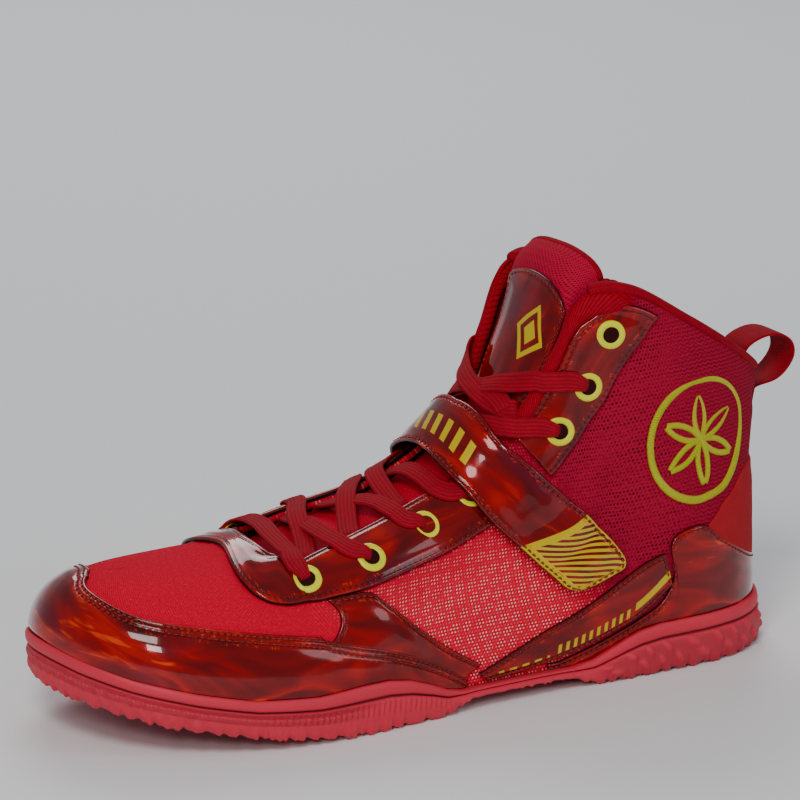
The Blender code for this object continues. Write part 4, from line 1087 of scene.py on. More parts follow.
class SHOE_OT_upper(bpy.types.Operator):
    """The mesh bootie: one wall with its lining, open at throat and collar."""
    bl_idname = "shoe.upper"
    bl_label = "Upper"

    def execute(self, context):
        half = np.concatenate((np.linspace(0.08, THROAT_RIB - 0.34, 58),
                               np.linspace(THROAT_RIB - 0.3, THROAT_RIB + 0.5, 40),
                               np.linspace(THROAT_RIB + 0.53, HEEL_RIB, 190)))
        s = np.concatenate((-half[::-1], (0.0,), half))[:, None]
        u = np.concatenate((np.linspace(0.004, 0.9, 50), np.linspace(0.912, 1.0, 10)))[None, :]
        lift = roll_bulge(s, u) + collar_bulge(s, u)
        points = skin(s, u, lift)
        run = arc(points, 0)
        middle = run[len(run) // 2]
        arcs = np.stack((np.abs(run - middle) + 0.2, arc(points, 1)), axis=-1)
        obj = grid_piece("upper_mesh_wall", points, "upper", flip=True, arcs=arcs,
                         marks=self.mesh_zones(np.abs(s), u), merge=True)
        thicken(obj, UPPER_WALL, inner="lining")
        settle(obj, "knit", "upper")
        return {"FINISHED"}

    def mesh_zones(self, t, u):
        """Where each kind of knit lies, and where painted backlight brightens the quarter mesh, by ribs from
        the toe and rise.
        """
        throat_front = ease(t, 4.72, 4.86) * (1 - ease(t, 5.5, 5.9)) * ease(u, 0.72, 0.76)
        flap_front = ease(t, 8.4, 8.9) * (1 - ease(t, 11.95, 12.15)) * ease(u, 0.895, 0.925)
        return {
            "quarter": ease(t + 1.5 * (u - 0.3), 5.4, 5.7),
            "ankle": ease(t + 1.1 * (u - 0.2), 9.0, 10.1),
            "rear": ease(t, 12.0, 13.4),
            # Painted backlight on the quarter mesh: strongest round rib 7.3 and low on the side
            "bright": np.exp(-((t - 7.3) / 1.9) ** 4) * (1 - 0.75 * ease(u, 0.30, 0.62)) + 0.1,
            "roll": np.maximum(flap_front, throat_front),
        }


class SHOE_OT_collar(bpy.types.Operator):
    """Ribbed rolls along the fronts of the ankle flaps and the round binding of the collar."""
    bl_idname = "shoe.collar"
    bl_label = "Collar and rolls"

    def execute(self, context):
        for side, word in SIDES:
            t = np.linspace(8.72, 12.0, 150)
            s = side * t
            centre = skin(s, 0.962, 0.4 * MM)
            up = skin_normal(s, np.full(len(s), 0.957))
            across = unit(bare_skin(s, 0.99) - bare_skin(s, 0.93))
            taper = np.sqrt(np.clip(ease(t, 8.6, 9.2) * (1 - ease(t, 11.5, 12.05)), 0.02, 1))
            obj = sweep("flap_roll_" + word, centre, across * 4.4 * MM, up * 2.5 * MM, round_section(28),
                        "ribbed", twist=np.stack((taper, taper), axis=1), flip=side > 0)
            settle(obj, "lace_tape")
        side = np.linspace(11.2, HEEL_RIB, 110)
        s = np.concatenate((-side, side[-2::-1]))
        edge, below = skin(s, 1.0, -UPPER_WALL / 2), skin(s, 0.985, -UPPER_WALL / 2)
        up = unit(edge - below)
        across = skin_normal(s, np.ones(len(s)))
        path = edge + up * 0.4 * MM
        fat = 1 + 0.25 * ease(np.abs(s), 12.5, 11.4)
        obj = sweep("collar_binding_tape", path, across * 2.1 * MM, up * 1.9 * MM, round_section(22),
                    "binding", twist=np.stack((fat, fat), axis=1))
        settle(obj, "lace_tape", "collar_binding")
        return {"FINISHED"}


# Tongue rows: rib of its lip, rib and rise of its hidden edge, and shares of its rise and sink
TONGUE = (
    (5.32, 5.32, 0.87, -0.9, 2.6), (5.60, 5.55, 0.82, 0.0, 1.8), (6.20, 6.15, 0.80, 0.0, 1.0),
    (7.00, 7.00, 0.80, 0.0, 1.0), (8.00, 8.10, 0.80, 0.0, 1.0), (9.00, 9.30, 0.80, 0.0, 1.0),
    (10.00, 10.80, 0.80, 0.0, 1.0), (10.90, 12.00, 0.93, 0.05, 1.0), (11.30, 12.30, 1.02, 0.35, 1.0),
)
TONGUE_RISE = 9 * MM

# Shares of the tongue's rise along its top edge, from its lateral to its medial side
TONGUE_TOP = (
    (-1.00, -1.7), (-0.92, -1.2), (-0.85, -0.6), (-0.78, 0.3), (-0.72, 1.0), (-0.65, 1.4), (-0.55, 1.3),
    (-0.44, 1.0), (-0.20, 0.2), (0.00, -0.3), (0.20, -0.2), (0.44, 0.2), (0.70, 0.5), (1.00, 0.4),
)
TONGUE_SINK = 1.4 * MM
FLAP_SHARE = 0.35


def wall_at(t):
    return UPPER_WALL + 2.0 * MM * ease(t, 9.2, 10.0) * (1 - ease(t, 11.6, 12.2))


def tongue_surface(v, w, lift=0.0):
    """Outside of the tongue at row v of its table and w from -1, lateral, to 1, medial."""
    lip, edge_rib, edge_rise, stand, sink = curve_through(np.arange(len(TONGUE)), TONGUE, v).T
    points = np.empty((len(v), len(w), 3))
    for j, place in enumerate(w):
        under = max(0.0, (abs(place) - (1 - FLAP_SHARE)) / FLAP_SHARE)
        t = lip + (edge_rib - lip) * under
        u = 1 + (edge_rise - 1) * under
        depth = -(wall_at(lip) + SKIN_GAP + TONGUE_SINK * sink)
        if under > 0:
            points[:, j] = skin(np.sign(place) * t, u, depth)
        else:
            points[:, j] = throat_bridge(lip, 0.5 + 0.5 * place / (1 - FLAP_SHARE), depth)
    up = unit(throat_bridge(lip + 0.05, 0.5) - throat_bridge(lip - 0.05, 0.5))
    places, shares = np.array(TONGUE_TOP).T
    top = curve_through(places, shares, w)[None, :]
    width = top + (1 - ease(np.abs(w), 0.3, 1.0)[None, :] - top) * (1 - ease(v, 6.5, 8.0))[:, None]
    points = points + up[:, None, :] * (stand[:, None] * width * TONGUE_RISE)[..., None]
    return points - grid_normals(points) * lift


class SHOE_OT_tongue(bpy.types.Operator):
    """Padded mesh tongue with piping, and the glossy panel sewn on its upper half."""
    bl_idname = "shoe.tongue"
    bl_label = "Tongue"

    def execute(self, context):
        v = np.linspace(0, len(TONGUE) - 1, 120)
        w = np.linspace(-1, 1, 61)
        outer = tongue_surface(v, w, 0.4 * MM)
        top = np.broadcast_to(ease(v, 4.6, 5.6)[:, None], outer.shape[:2])
        obj = grid_piece("tongue_pad", outer, "tongue_mesh", marks={"top": top})
        thicken(obj, TONGUE_THICK)
        settle(obj, "tongue_mesh", "tongue")
        top = tongue_surface(np.linspace(7.2, 8.0, 9), np.linspace(-0.95, 0.95, 90), -1.2 * MM)
        up = unit(top[-1] - top[-2])
        normal = -grid_normals(top)[-1]
        obj = sweep("tongue_piping", top[-1], normal * 1.9 * MM, up * 1.7 * MM, round_section(16), "binding")
        settle(obj, "lace_tape")
        v = np.linspace(4.90, 6.60, 90)
        w = np.linspace(-0.64, 0.43, 66)
        base = tongue_surface(v, w)
        sides = ("first", "second", "start", "end")
        edge, ways = edge_distance(base, sides)
        lift = film_lift(edge, seam_rows(), 1.2 * MM)
        points = base - grid_normals(base) * (0.5 * MM + lift)[..., None]
        obj = grid_piece("tongue_panel_film", points, "tongue_print", marks={"edge": edge})
        thicken(obj, FILM_THICK)
        settle(obj, "patent_film", "tongue_panel")
        normals = -grid_normals(points)
        lines = seam_lines(points + normals * 0.1 * MM, normals, ways, sides, size("seam_inset"))
        stitches("tongue_panel_stitches", lines)
        return {"FINISHED"}


# Rib and rise of each eyelet, from the toe up
EYELETS = (
    (5.20, 0.68), (6.13, 0.73), (7.03, 0.76), (7.80, 0.80), (9.72, 0.77), (10.80, 0.77), (11.55, 0.88),
)

# An eyelet's profile: radius and height as shares of its ring's width and thickness
EYELET_SHAPE = (
    (0.02, -1.6), (0.00, 0.0), (0.06, 0.55), (0.20, 0.88), (0.40, 1.0), (0.62, 0.98), (0.82, 0.80),
    (0.95, 0.45), (1.00, 0.0), (0.98, -0.6),
)


class SHOE_OT_eyelets(bpy.types.Operator):
    """Round lime eyelets with rolled rims, and a dark disc of painted shade in each hole."""
    bl_idname = "shoe.eyelets"
    bl_label = "Eyelets"

    def execute(self, context):
        radius, rise = np.array(EYELET_SHAPE).T
        ring = EYELET_HOLE + (EYELET_RADIUS - EYELET_HOLE) * radius
        disc = np.linspace(0.0, EYELET_HOLE * 1.04, 4)
        for side, word in SIDES:
            for number, (rib, height) in enumerate(EYELETS, 1):
                name = f"{word}_{number}"
                obj = self.turned("eyelet_ring_" + name, side * rib, height, ring,
                                  EYELET_LIFT + EYELET_THICK * rise, "lime_paint")
                settle(obj, "eyelet_lime", "eyelet_" + name)
                # Painted shade: a dark disc laid in the hole, where its inside would be in shade
                obj = self.turned("eyelet_hole_" + name, side * rib, height, disc, HOLE_LIFT, "hole_shade")
                thicken(obj, 0.3 * MM)
                settle(obj, "patent_film")
        return {"FINISHED"}

    def turned(self, name, rib, height, radius, lift, finish):
        """A round piece with its profile given by radius and lift off the mesh."""
        turn = np.linspace(0, TURN, 49)
        east, north = np.outer(np.cos(turn), radius), np.outer(np.sin(turn), radius)
        points = on_skin(rib, height, east, north, np.broadcast_to(lift, east.shape))
        return grid_piece(name, points, finish, merge=True)


# Lace strands: ribs and places across from start to end, the height over the mesh at the start,
# the extra height where it crosses another lace, in metres, and the eyelet at its end
LACES_LOWER = (
    ((5.20, 5.24, 5.42, 5.56, 5.50, 5.20), (0.735, 0.93, 1.375, 1.80, 2.02, 2.265), 2.7 * MM,
     0.5 * MM, 1),
    ((6.02, 5.96, 5.94, 5.94, 5.98, 6.06), (1.93, 1.38, 1.18, 0.97, 0.83, 0.78), -0.6 * MM, 0.0, 2),
    ((5.52, 5.73, 5.99, 6.20, 6.16), (1.03, 1.23, 1.60, 2.04, 2.215), -0.4 * MM, 1.1 * MM, 2),
    ((6.45, 6.62, 6.76, 6.80, 6.84, 6.925), (1.93, 1.49, 1.21, 0.97, 0.84, 0.806), -0.6 * MM, 0.0, 3),
    ((6.20, 6.42, 6.70, 6.95, 7.02), (1.03, 1.30, 1.68, 2.04, 2.185), -0.4 * MM, 1.1 * MM, 3),
    ((7.28, 7.40, 7.44, 7.46, 7.56, 7.66), (1.93, 1.39, 1.10, 0.95, 0.87, 0.841), -0.6 * MM, 0.0, 4),
    ((6.96, 6.98, 7.08, 7.36, 7.74), (1.03, 1.25, 1.66, 2.03, 2.15), -0.4 * MM, 1.3 * MM, 4),
)
LACES_UPPER = (
    ((8.30, 8.54, 8.66, 8.86, 9.08, 9.32, 9.53), (1.35, 1.11, 1.03, 0.96, 0.91, 0.86, 0.812),
     2.0 * MM, 0.0, 5),
    ((8.82, 8.92, 9.25, 9.56), (1.10, 2.0, 2.14, 2.19), 2.0 * MM, 0.0, 5),
    ((8.78, 8.72, 8.80, 8.98, 9.23, 9.61, 9.89, 10.31, 10.57),
     (1.93, 1.70, 1.45, 1.29, 1.14, 0.98, 0.92, 0.85, 0.807), 0.6 * MM, 0.0, 6),
    ((9.05, 8.91, 8.72, 8.70, 8.93, 9.40, 9.95, 10.62), (1.02, 1.07, 1.25, 1.48, 1.73, 1.95, 2.08, 2.19),
     1.0 * MM, 2.2 * MM, 6),
)


def dive(number, rib, across):
    """Points where a lace goes over an eyelet's rim and down through it, from its last place on."""
    hole_rib, rise = EYELETS[number - 1]
    hole = np.array((hole_rib, 3 - rise if across > 1.5 else rise))
    way = np.array((rib, across)) - hole
    return np.array([over(*(hole + way * share), lift * MM)
                     for share, lift in ((0.74, 3.4), (0.46, 3.0), (0.20, 1.9), (0.0, 0.6))])


def lace_strand(name, strand):
    """One flat length of lace, from under a flap or out of an eyelet, down into an eyelet."""
    ribs, across, start, hump, number = strand
    both = across[0] < 0.9
    corners = over(np.array(ribs), np.array(across), 3 * MM)
    knots = arc(corners, 0) / arc(corners, 0)[-1]
    v = np.linspace(0, 1, 30)
    t, q = curve_through(knots, ribs, v), curve_through(knots, across, v)
    lift = start + (2.75 * MM - start) * ease(v, 0.0, 0.5) + hump * np.exp(-((v - 0.46) / 0.20) ** 2)
    lift = lift + 0.9 * MM * np.exp(-((q - 1) / 0.09) ** 2) * ease(t, 8.6, 9.0)
    lift = lift + 0.35 * MM * (ease(v, 0.85, 1.0) + (ease(v, 0.15, 0.0) if both else 0))
    path = over(t, q, lift)
    normal = unit(over(t, q, 2 * MM) - over(t, q, -2 * MM))
    sideways = unit(np.cross(normal, unit(np.gradient(path, axis=0))))
    tail = dive(number, ribs[-1], across[-1])
    if both:
        head = dive(number, ribs[0], across[0])[::-1]
    else:
        inward = 1 if across[0] > 1.5 else -1
        head = np.array([over(ribs[0] - 0.05, across[0] + inward * 0.11, -4.2 * MM),
                         over(ribs[0] - 0.02, across[0] + inward * 0.045, -3.0 * MM)])
    key = np.concatenate((head, path[1:], tail))
    wide = np.concatenate((np.repeat(sideways[:1], len(head), axis=0), sideways[1:],
                           np.repeat(sideways[-1:], len(tail), axis=0)))
    run = arc(key, 0)
    places = np.linspace(0, run[-1], 90)
    path = curve_through(run, key, places)
    wide = unit(curve_through(run, wide, places))
    heading = unit(np.gradient(path, axis=0))
    wide = unit(wide - heading * np.sum(wide * heading, axis=1, keepdims=True))
    up = unit(np.cross(heading, wide))
    pinch = ease(run[-1] - places, 1.0 * MM, 8 * MM)
    if both:
        pinch = pinch * ease(places, 1.0 * MM, 8 * MM)
    twist = np.stack((0.56 + 0.44 * pinch, 1.5 - 0.5 * pinch), axis=1)
    return sweep(name, path, wide * LACE_WIDTH / 2, up * LACE_THICK / 2, lace_section(), "lace", twist=twist)


def lace_section():
    """A flat oval with five ribs along it on both faces."""
    x, z = round_section(44, (0.55, 0.45)).T
    return np.stack((x, z * (1 + 0.16 * np.cos(x * 5 * math.pi))), axis=1)


def join(name, parts):
    """One object from several, in the first one's place."""
    bpy.ops.object.select_all(action="DESELECT")
    for part in parts:
        part.select_set(True)
    bpy.context.view_layer.objects.active = parts[0]
    bpy.ops.object.join()
    parts[0].name = parts[0].data.name = name
    return parts[0]


class SHOE_OT_laces(bpy.types.Operator):
    """The flat lace, over and under the flaps and down through the eyelets."""
    bl_idname = "shoe.laces"
    bl_label = "Laces"

    def execute(self, context):
        for name, strands, node in (("lace_lower", LACES_LOWER, "laces_lower"),
                                    ("lace_upper", LACES_UPPER, "laces_upper")):
            parts = [lace_strand(f"{name}_{k}", strand) for k, strand in enumerate(strands)]
            settle(join(name, parts), "lace_tape", node)
        return {"FINISHED"}


# Strap from its free lateral end over the instep: rib and place across of front and back edge
STRAP = (
    (8.75, 0.250, 10.28, 0.275), (8.22, 0.430, 9.66, 0.455), (7.84, 0.620, 9.12, 0.640),
    (7.70, 0.820, 8.76, 0.830), (7.66, 1.000, 8.56, 1.000), (7.68, 1.500, 8.45, 1.500),
)


class SHOE_OT_strap(bpy.types.Operator):
    """Glossy instep strap with stitched edges and a printed end."""
    bl_idname = "shoe.strap"
    bl_label = "Strap"

    def execute(self, context):
        half = side_rows(STRAP, 24)
        other = half[-2:16:-1].copy()
        other[:, (1, 3)] = 3 - other[:, (1, 3)]
        rows = np.concatenate((half, other))
        share = np.linspace(0, 1, 48)[None, :]
        t = rows[:, 0:1] + (rows[:, 2:3] - rows[:, 0:1]) * share
        q = rows[:, 1:2] + (rows[:, 3:4] - rows[:, 1:2]) * share
        near_top = ease(np.minimum(q, 3 - q), 0.50, 0.78)
        base = over(t, q, STRAP_SIDE + (STRAP_OVER_LACE - STRAP_SIDE) * near_top)
        run, wide = arc(base, 0).mean(axis=1)[:, None], arc(base, 1)[:, -1].mean() * share
        arcs = np.stack(np.broadcast_arrays(run, wide), axis=-1)
        base = self.round_corners(base)
        sides = ("first", "second", "start")
        edge, ways = edge_distance(base, sides)
        normals = grid_normals(base)
        lift = film_lift(edge, seam_rows(), 1.3 * MM)
        points = base + normals * (0.5 * MM + lift)[..., None]
        obj = grid_piece("strap_band", points, "strap_print", flip=True, arcs=arcs, marks={"edge": edge})
        thicken(obj, 1.5 * MM, inner="lining")
        settle(obj, "patent_film", "strap")
        lines = seam_lines(points + normals * 0.1 * MM, normals, ways, sides, size("seam_inset"))
        stitches("strap_stitches", lines)
        return {"FINISHED"}

    def round_corners(self, base, radius=6 * MM):
        """Draws in the two corners of the strap's free end."""
        run = arc(base, 0)
        wide = arc(base, 1)
        total = wide[:, -1:]
        gap = np.minimum(wide, total - wide)
        inset = np.clip(radius - run, 0, radius)
        shrink = radius - np.sqrt(np.clip(radius ** 2 - inset ** 2, 0, None))
        near = np.clip(1 - gap / (total / 2), 0, 1)
        centre = base.mean(axis=1, keepdims=True)
        pull = (shrink / (total / 2) * near)[..., None]
        return base + (centre - base) * pull


def pull_path():
    """The pull loop's middle line, from its sewn end inside the collar to its sewn end outside."""
    shape = (
        (-6.2, -12.0), (-6.0, -4.0), (-5.6, 2.0), (-2.8, 7.8), (3.5, 10.8), (10.0, 11.0), (15.5, 8.0),
        (16.8, 3.0), (14.0, -2.0), (9.0, -5.5),
    )
    back = bare_skin(float(HEEL_RIB), 1.0)
    free = np.array([(back[0] + x * MM, back[1], back[2] + z * MM) for x, z in shape])
    sewn = np.array([skin(float(HEEL_RIB), rise, lift * MM)
                     for rise, lift in ((0.925, 2.2), (0.900, 1.2), (0.865, 0.9))])
    return side_rows(np.concatenate((free, sewn.reshape(-1, 3))), 8)


class SHOE_OT_pull_loop(bpy.types.Operator):
    """Woven tape loop at the heel."""
    bl_idname = "shoe.pull_loop"
    bl_label = "Pull loop"

    def execute(self, context):
        path = pull_path()
        heading = unit(np.gradient(path, axis=0))
        wide = np.broadcast_to(np.array((0.0, 1.0, 0.0)), path.shape)
        up = unit(np.cross(heading, wide))
        obj = sweep("pull_loop_tape", path, wide * 8 * MM, up * 0.65 * MM,
                    round_section(40, (0.35, 0.5)), "tape")
        settle(obj, "lace_tape", "pull_loop")
        return {"FINISHED"}


# Ankle embroidery: place, radius of its ring and of the arcs that bound its petals
EMBLEM_RIB = 13.15
EMBLEM_RISE = 0.655
EMBLEM_RADIUS = 22 * MM
PETAL_RADIUS = 17 * MM


def thread_band(name, side, east, north, width, thick):
    """A raised band of thread along a line drawn round the middle of the embroidery."""
    s = side * EMBLEM_RIB
    path = on_skin(s, EMBLEM_RISE, east, north, np.full(len(east), 0.15 * MM))
    up = np.broadcast_to(skin_normal(s, EMBLEM_RISE), path.shape)
    ring = np.linalg.norm(path[0] - path[-1]) < 0.01 * MM
    heading = unit(np.gradient(path, axis=0))
    if ring:
        heading[0] = heading[-1] = unit(path[1] - path[-2])
    across = unit(np.cross(heading, up))
    return sweep(name, path, across * width / 2, up * thick, round_section(16), "lime_thread", ring=ring)


class SHOE_OT_emblem(bpy.types.Operator):
    """Embroidered ring with a compass-drawn rosette on both sides of the ankle."""
    bl_idname = "shoe.emblem"
    bl_label = "Ankle embroidery"

    def execute(self, context):
        for side, word in SIDES:
            turn = np.linspace(0, TURN, 121)
            parts = [thread_band("ring", side, EMBLEM_RADIUS * np.cos(turn), EMBLEM_RADIUS * np.sin(turn),
                                 3.0 * MM, 0.8 * MM)]
            for k in range(6):
                a = math.radians(60 * k + 30)
                bend = np.linspace(math.radians(122), math.radians(238), 41) + a
                east = PETAL_RADIUS * (math.cos(a) + np.cos(bend))
                north = PETAL_RADIUS * (math.sin(a) + np.sin(bend))
                parts.append(thread_band(f"petal_{k}", side, east, north, 2.2 * MM, 0.7 * MM))
            settle(join("ankle_embroidery_" + word, parts), "eyelet_lime")
        return {"FINISHED"}


def tooth_wave(run):
    """An uneven row of small steps along the sole's edge: 0 on a tooth, 1 in a gap."""
    turn = run * TURN
    phase = run / (7.1 * MM) + 0.22 * np.sin(turn / (31 * MM)) + 0.1 * np.sin(turn / (11.3 * MM))
    share = phase - np.floor(phase)
    step = ease(share, 0.0, 0.22) * (1 - 0.8 * ease(share, 0.45, 0.95))
    fine = 0.5 + 0.5 * np.cos(turn / (2.9 * MM) + 1.4 * np.sin(turn / (23 * MM)))
    return 1 - (0.62 * step + 0.38 * fine * (0.6 + 0.4 * np.sin(turn / (37 * MM))))


# Sole's side from its lip to the ground: share of its height, push outwards in millimetres, share
# of the tooth's cut, and the share of painted shade on it
SOLE_SIDE = (
    (1.000, -0.9, 0.0, 0.0), (1.010, -0.4, 0.0, 0.0), (0.990, 0.05, 0.0, 0.0), (0.940, 0.45, 0.0, 0.0),
    (0.860, 0.70, 0.0, 0.0), (0.790, 0.62, 0.0, 0.0), (0.745, 0.35, 0.0, 0.0), (0.728, -0.2, 0.0, 0.5),
    (0.715, -0.7, 0.0, 1.0), (0.700, -0.7, 0.0, 1.0), (0.688, -0.1, 0.0, 0.5), (0.675, 0.45, 0.0, 0.0),
    (0.620, 0.70, 0.0, 0.0), (0.560, 0.85, 0.0, 0.0), (0.500, 0.95, 0.0, 0.0), (0.440, 1.05, 0.05, 0.0),
    (0.380, 1.15, 0.15, 0.0), (0.320, 1.2, 0.3, 0.0), (0.260, 1.25, 0.5, 0.0), (0.200, 1.2, 0.7, 0.0),
    (0.140, 1.1, 0.85, 0.0), (0.080, 0.9, 0.95, 0.0), (0.030, 0.6, 1.0, 0.0), (0.000, 0.2, 1.0, 0.0),
)


# Fields of tread bars, as shares of LENGTH from the heel, and the distance from row to row
TREAD_FIELDS = ((0.06, 0.27), (0.345, 0.47), (0.53, 0.93))
TREAD_PITCH = 8.5 * MM
KNOB_PITCH = 9.2 * MM


def heel_knobs(run, share, a):
    """Oval knobs round the heel: 1 on a knob, 0 beside it."""
    knobs = np.zeros(len(run))
    for row, height in enumerate((0.54, 0.30)):
        phase = run / KNOB_PITCH + 0.5 * row + 0.2 * np.sin(run * 170 + row)
        near = (phase - np.round(phase)) * KNOB_PITCH
        slant = (share - height) * SOLE_STACK
        oval = ((near - 0.5 * slant) / (1.6 * MM)) ** 2 + (slant / (1.9 * MM)) ** 2
        knobs = np.maximum(knobs, np.exp(-oval ** 2))
    return knobs * (1 - ease(a, 0.27, 0.31))


def sole_relief(run, share, along):
    """Fine ribs under the groove in front, oval knobs at the heel and low lumps at the toe, in metres."""
    a = along / LENGTH
    ribbed = ease(a, 0.50, 0.53) * (1 - ease(a, 0.74, 0.80))
    band = ease(share, 0.36, 0.42) * (1 - ease(share, 0.60, 0.66))
    rib = np.clip(np.cos((run + share * 4 * MM) * TURN / (2.25 * MM)) * 1.6, -1, 1)
    relief = 0.42 * MM * ribbed * band * rib
    relief = relief + 1.15 * MM * heel_knobs(run, share, a)
    toe = ease(a, 0.80, 0.86)
    lump = np.cos(run * TURN / (5.1 * MM)) * np.cos(share * 9 + run * 180)
    return relief + toe * 0.45 * MM * lump * ease(share, 0.1, 0.2) * (1 - ease(share, 0.58, 0.66))


class SHOE_OT_sole(bpy.types.Operator):
    """Rubber cup sole: lip, groove, ribs, knobs, uneven teeth and a barred tread."""
    bl_idname = "shoe.sole"
    bl_label = "Sole"

    def execute(self, context):
        half = np.linspace(0, HEEL_RIB, 560)
        run = arc(to_world(rib_points(half)[0]), 0)
        half = np.interp(np.linspace(0, run[-1], 520), run, half)
        s = np.concatenate((-half[::-1], half[1:]))
        along = rib_points(s)[0][:, 0]
        foot = to_world(rib_points(s)[0])
        run = arc(foot, 0)
        out = outward(s)
        out = np.stack((-out[:, 0], out[:, 1], np.zeros(len(s))), axis=1)
        ground, lip = ground_height(along), lip_height(along)
        rings = [skin(s, lip_rise(s) * share, 0.2 * MM) for share in (0.0, 0.35, 0.7, 1.0)]
        rings[0][:, 2] = floor_height(along)
        rings[3][:, 2] = lip
        plain = np.zeros(len(s))
        hollow, hatch = [plain] * 4, [plain] * 4
        tip = np.exp(-(s / 2.2) ** 2)
        lip_out = rings[3] + out * (LIP_WIDTH - 1.0 * MM * tip)[:, None]
        ground_out = foot + out * (GROUND_OUT - 4.0 * MM * tip)[:, None]
        gap = tooth_wave(run)
        front, heel = ease(along / LENGTH, 0.60, 0.70), 1 - ease(along / LENGTH, 0.27, 0.31)
        for share, push, cut, dark in SOLE_SIDE:
            ring = ground_out + (lip_out - ground_out) * min(share, 1.0)
            bite = cut * gap * TOOTH_BITE
            ring = ring + out * (push * MM - bite + sole_relief(run, share, along))[:, None]
            tooth = gap * TOOTH_HEIGHT * max(0.0, 1 - share / 0.2)
            ring[:, 2] = ground + (lip - ground) * share + tooth
            rings.append(ring)
            # Painted shade low on the heel's side, none on the knobs
            between = ease(share, 0.66, 0.60) * (0.30 - 0.45 * heel_knobs(run, share, along / LENGTH))
            hollow.append(np.maximum(dark + heel * between, 0.0))
            hatch.append(ease(share, 0.40, 0.46) * ease(share, 0.67, 0.62) * front)
        for inset, height, tooth in ((0.5, 0.0, gap), (0.85, 0.0, gap), (1.0, 0.1, gap),
                                     (1.0, TREAD_DEPTH / MM, plain)):
            ring = foot + out * (GROUND_OUT - inset * RIM_WIDTH * (1 + 0.35 * tip))[:, None]
            ring[:, 2] = ground + tooth * TOOTH_HEIGHT + height * MM
            rings.append(ring)
            hollow.append(plain)
            hatch.append(plain)
        obj = grid_piece("sole_rubber_cup", np.array(rings).swapaxes(0, 1), "rubber",
                         marks={"hollow": np.array(hollow).T, "hatch": np.array(hatch).T})
        self.close(obj)
        settle(obj, "sole_rubber", "sole")
        self.tread(rings[-1])
        return {"FINISHED"}

    def close(self, obj):
        """Welds the heel seam, then closes the bed and the tread's ground with strips of faces."""
        weld(obj)
        body = bmesh.new()
        body.from_mesh(obj.data)
        rim = [e for e in body.edges if e.is_boundary]
        filled = bmesh.ops.holes_fill(body, edges=rim, sides=0)["faces"]
        bmesh.ops.triangulate(body, faces=filled, ngon_method="BEAUTY")
        bmesh.ops.recalc_face_normals(body, faces=body.faces)
        body.to_mesh(obj.data)
        body.free()

    def tread(self, edge):
        """Short slanted bars across heel, arch and forefoot, inside the tread's edge."""
        half = len(edge) // 2
        places = [place * LENGTH for start, end in TREAD_FIELDS
                  for place in np.arange(start, end, TREAD_PITCH / LENGTH)]
        bpy.ops.object.select_all(action="DESELECT")
        parts = []
        for row, place in enumerate(places, 1):
            x = LENGTH / 2 - place + SHIFT[0]
            low, high = self.side_at(edge[:half + 1], x), self.side_at(edge[half:], x)
            across = 5 if high - low > 50 * MM else 4
            reach = (high - low) / across
            for k in range(across):
                parts.append(self.bar(place, low + reach * (k + 0.5), reach * 0.74, row % 2))
        settle(join("sole_tread_bars", parts), "sole_rubber")

    def side_at(self, line, x):
        """How far across one side of the tread's edge is at x."""
        order = np.argsort(line[:, 0])
        return np.interp(x, line[order, 0], line[order, 1])

    def bar(self, along, y, reach, turned):
        """One tread bar: a cube drawn out, slanted and narrowed towards its foot."""
        bpy.ops.mesh.primitive_cube_add(size=1)
        bar = bpy.context.active_object
        slant = 0.45 if turned else -0.45
        low = float(ground_height(np.array(along)))
        top = TREAD_DEPTH + 1.2 * MM
        for vertex in bar.data.vertices:
            x, w, z = vertex.co
            taper = 0.82 if z < 0 else 1.0
            vertex.co = (LENGTH / 2 - along + SHIFT[0] - (x * 4.6 * MM * taper + w * reach * slant),
                         y + w * reach * taper, low + (z + 0.5) * top)
        bar.data.flip_normals()
        bar.data.materials.append(material("rubber"))
        return bar


class SHOE_OT_insole(bpy.types.Operator):
    """Gives the kept foam bed its cloth top."""
    bl_idname = "shoe.insole"
    bl_label = "Insole"

    def execute(self, context):
        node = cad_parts["insole"]
        node.data.materials.clear()
        node.data.materials.append(material("insole_cloth"))
        return {"FINISHED"}


# Soft lights: name, place, width, share of the key's power, and tint
LIGHTS = (
    ("key", (-0.9, -1.1, 1.5), 0.6, 1.0, (1.0, 0.98, 0.95)),
    ("fill", (1.3, -1.3, 0.9), 0.7, 0.35, (0.92, 0.96, 1.0)),
    ("rim", (0.5, 1.3, 1.3), 0.9, 0.7, (1.0, 1.0, 1.0)),
    ("strip", (-0.55, -0.75, 0.45), 0.16, 0.12, (1.0, 1.0, 1.0)),
)

# The camera's angle round the shoe, its distance from its aim and its lens in millimetres
AZIMUTH = math.radians(-28.5)
ELEVATION = math.radians(16.5)
CAMERA_DISTANCE = 2.0
CAMERA_LENS = 254.7
FLOOR_COLOUR = (0.86, 0.86, 0.87, 1)
SKY_COLOUR = (0.80, 0.84, 0.90, 1)
SKY_STRENGTH = 0.32


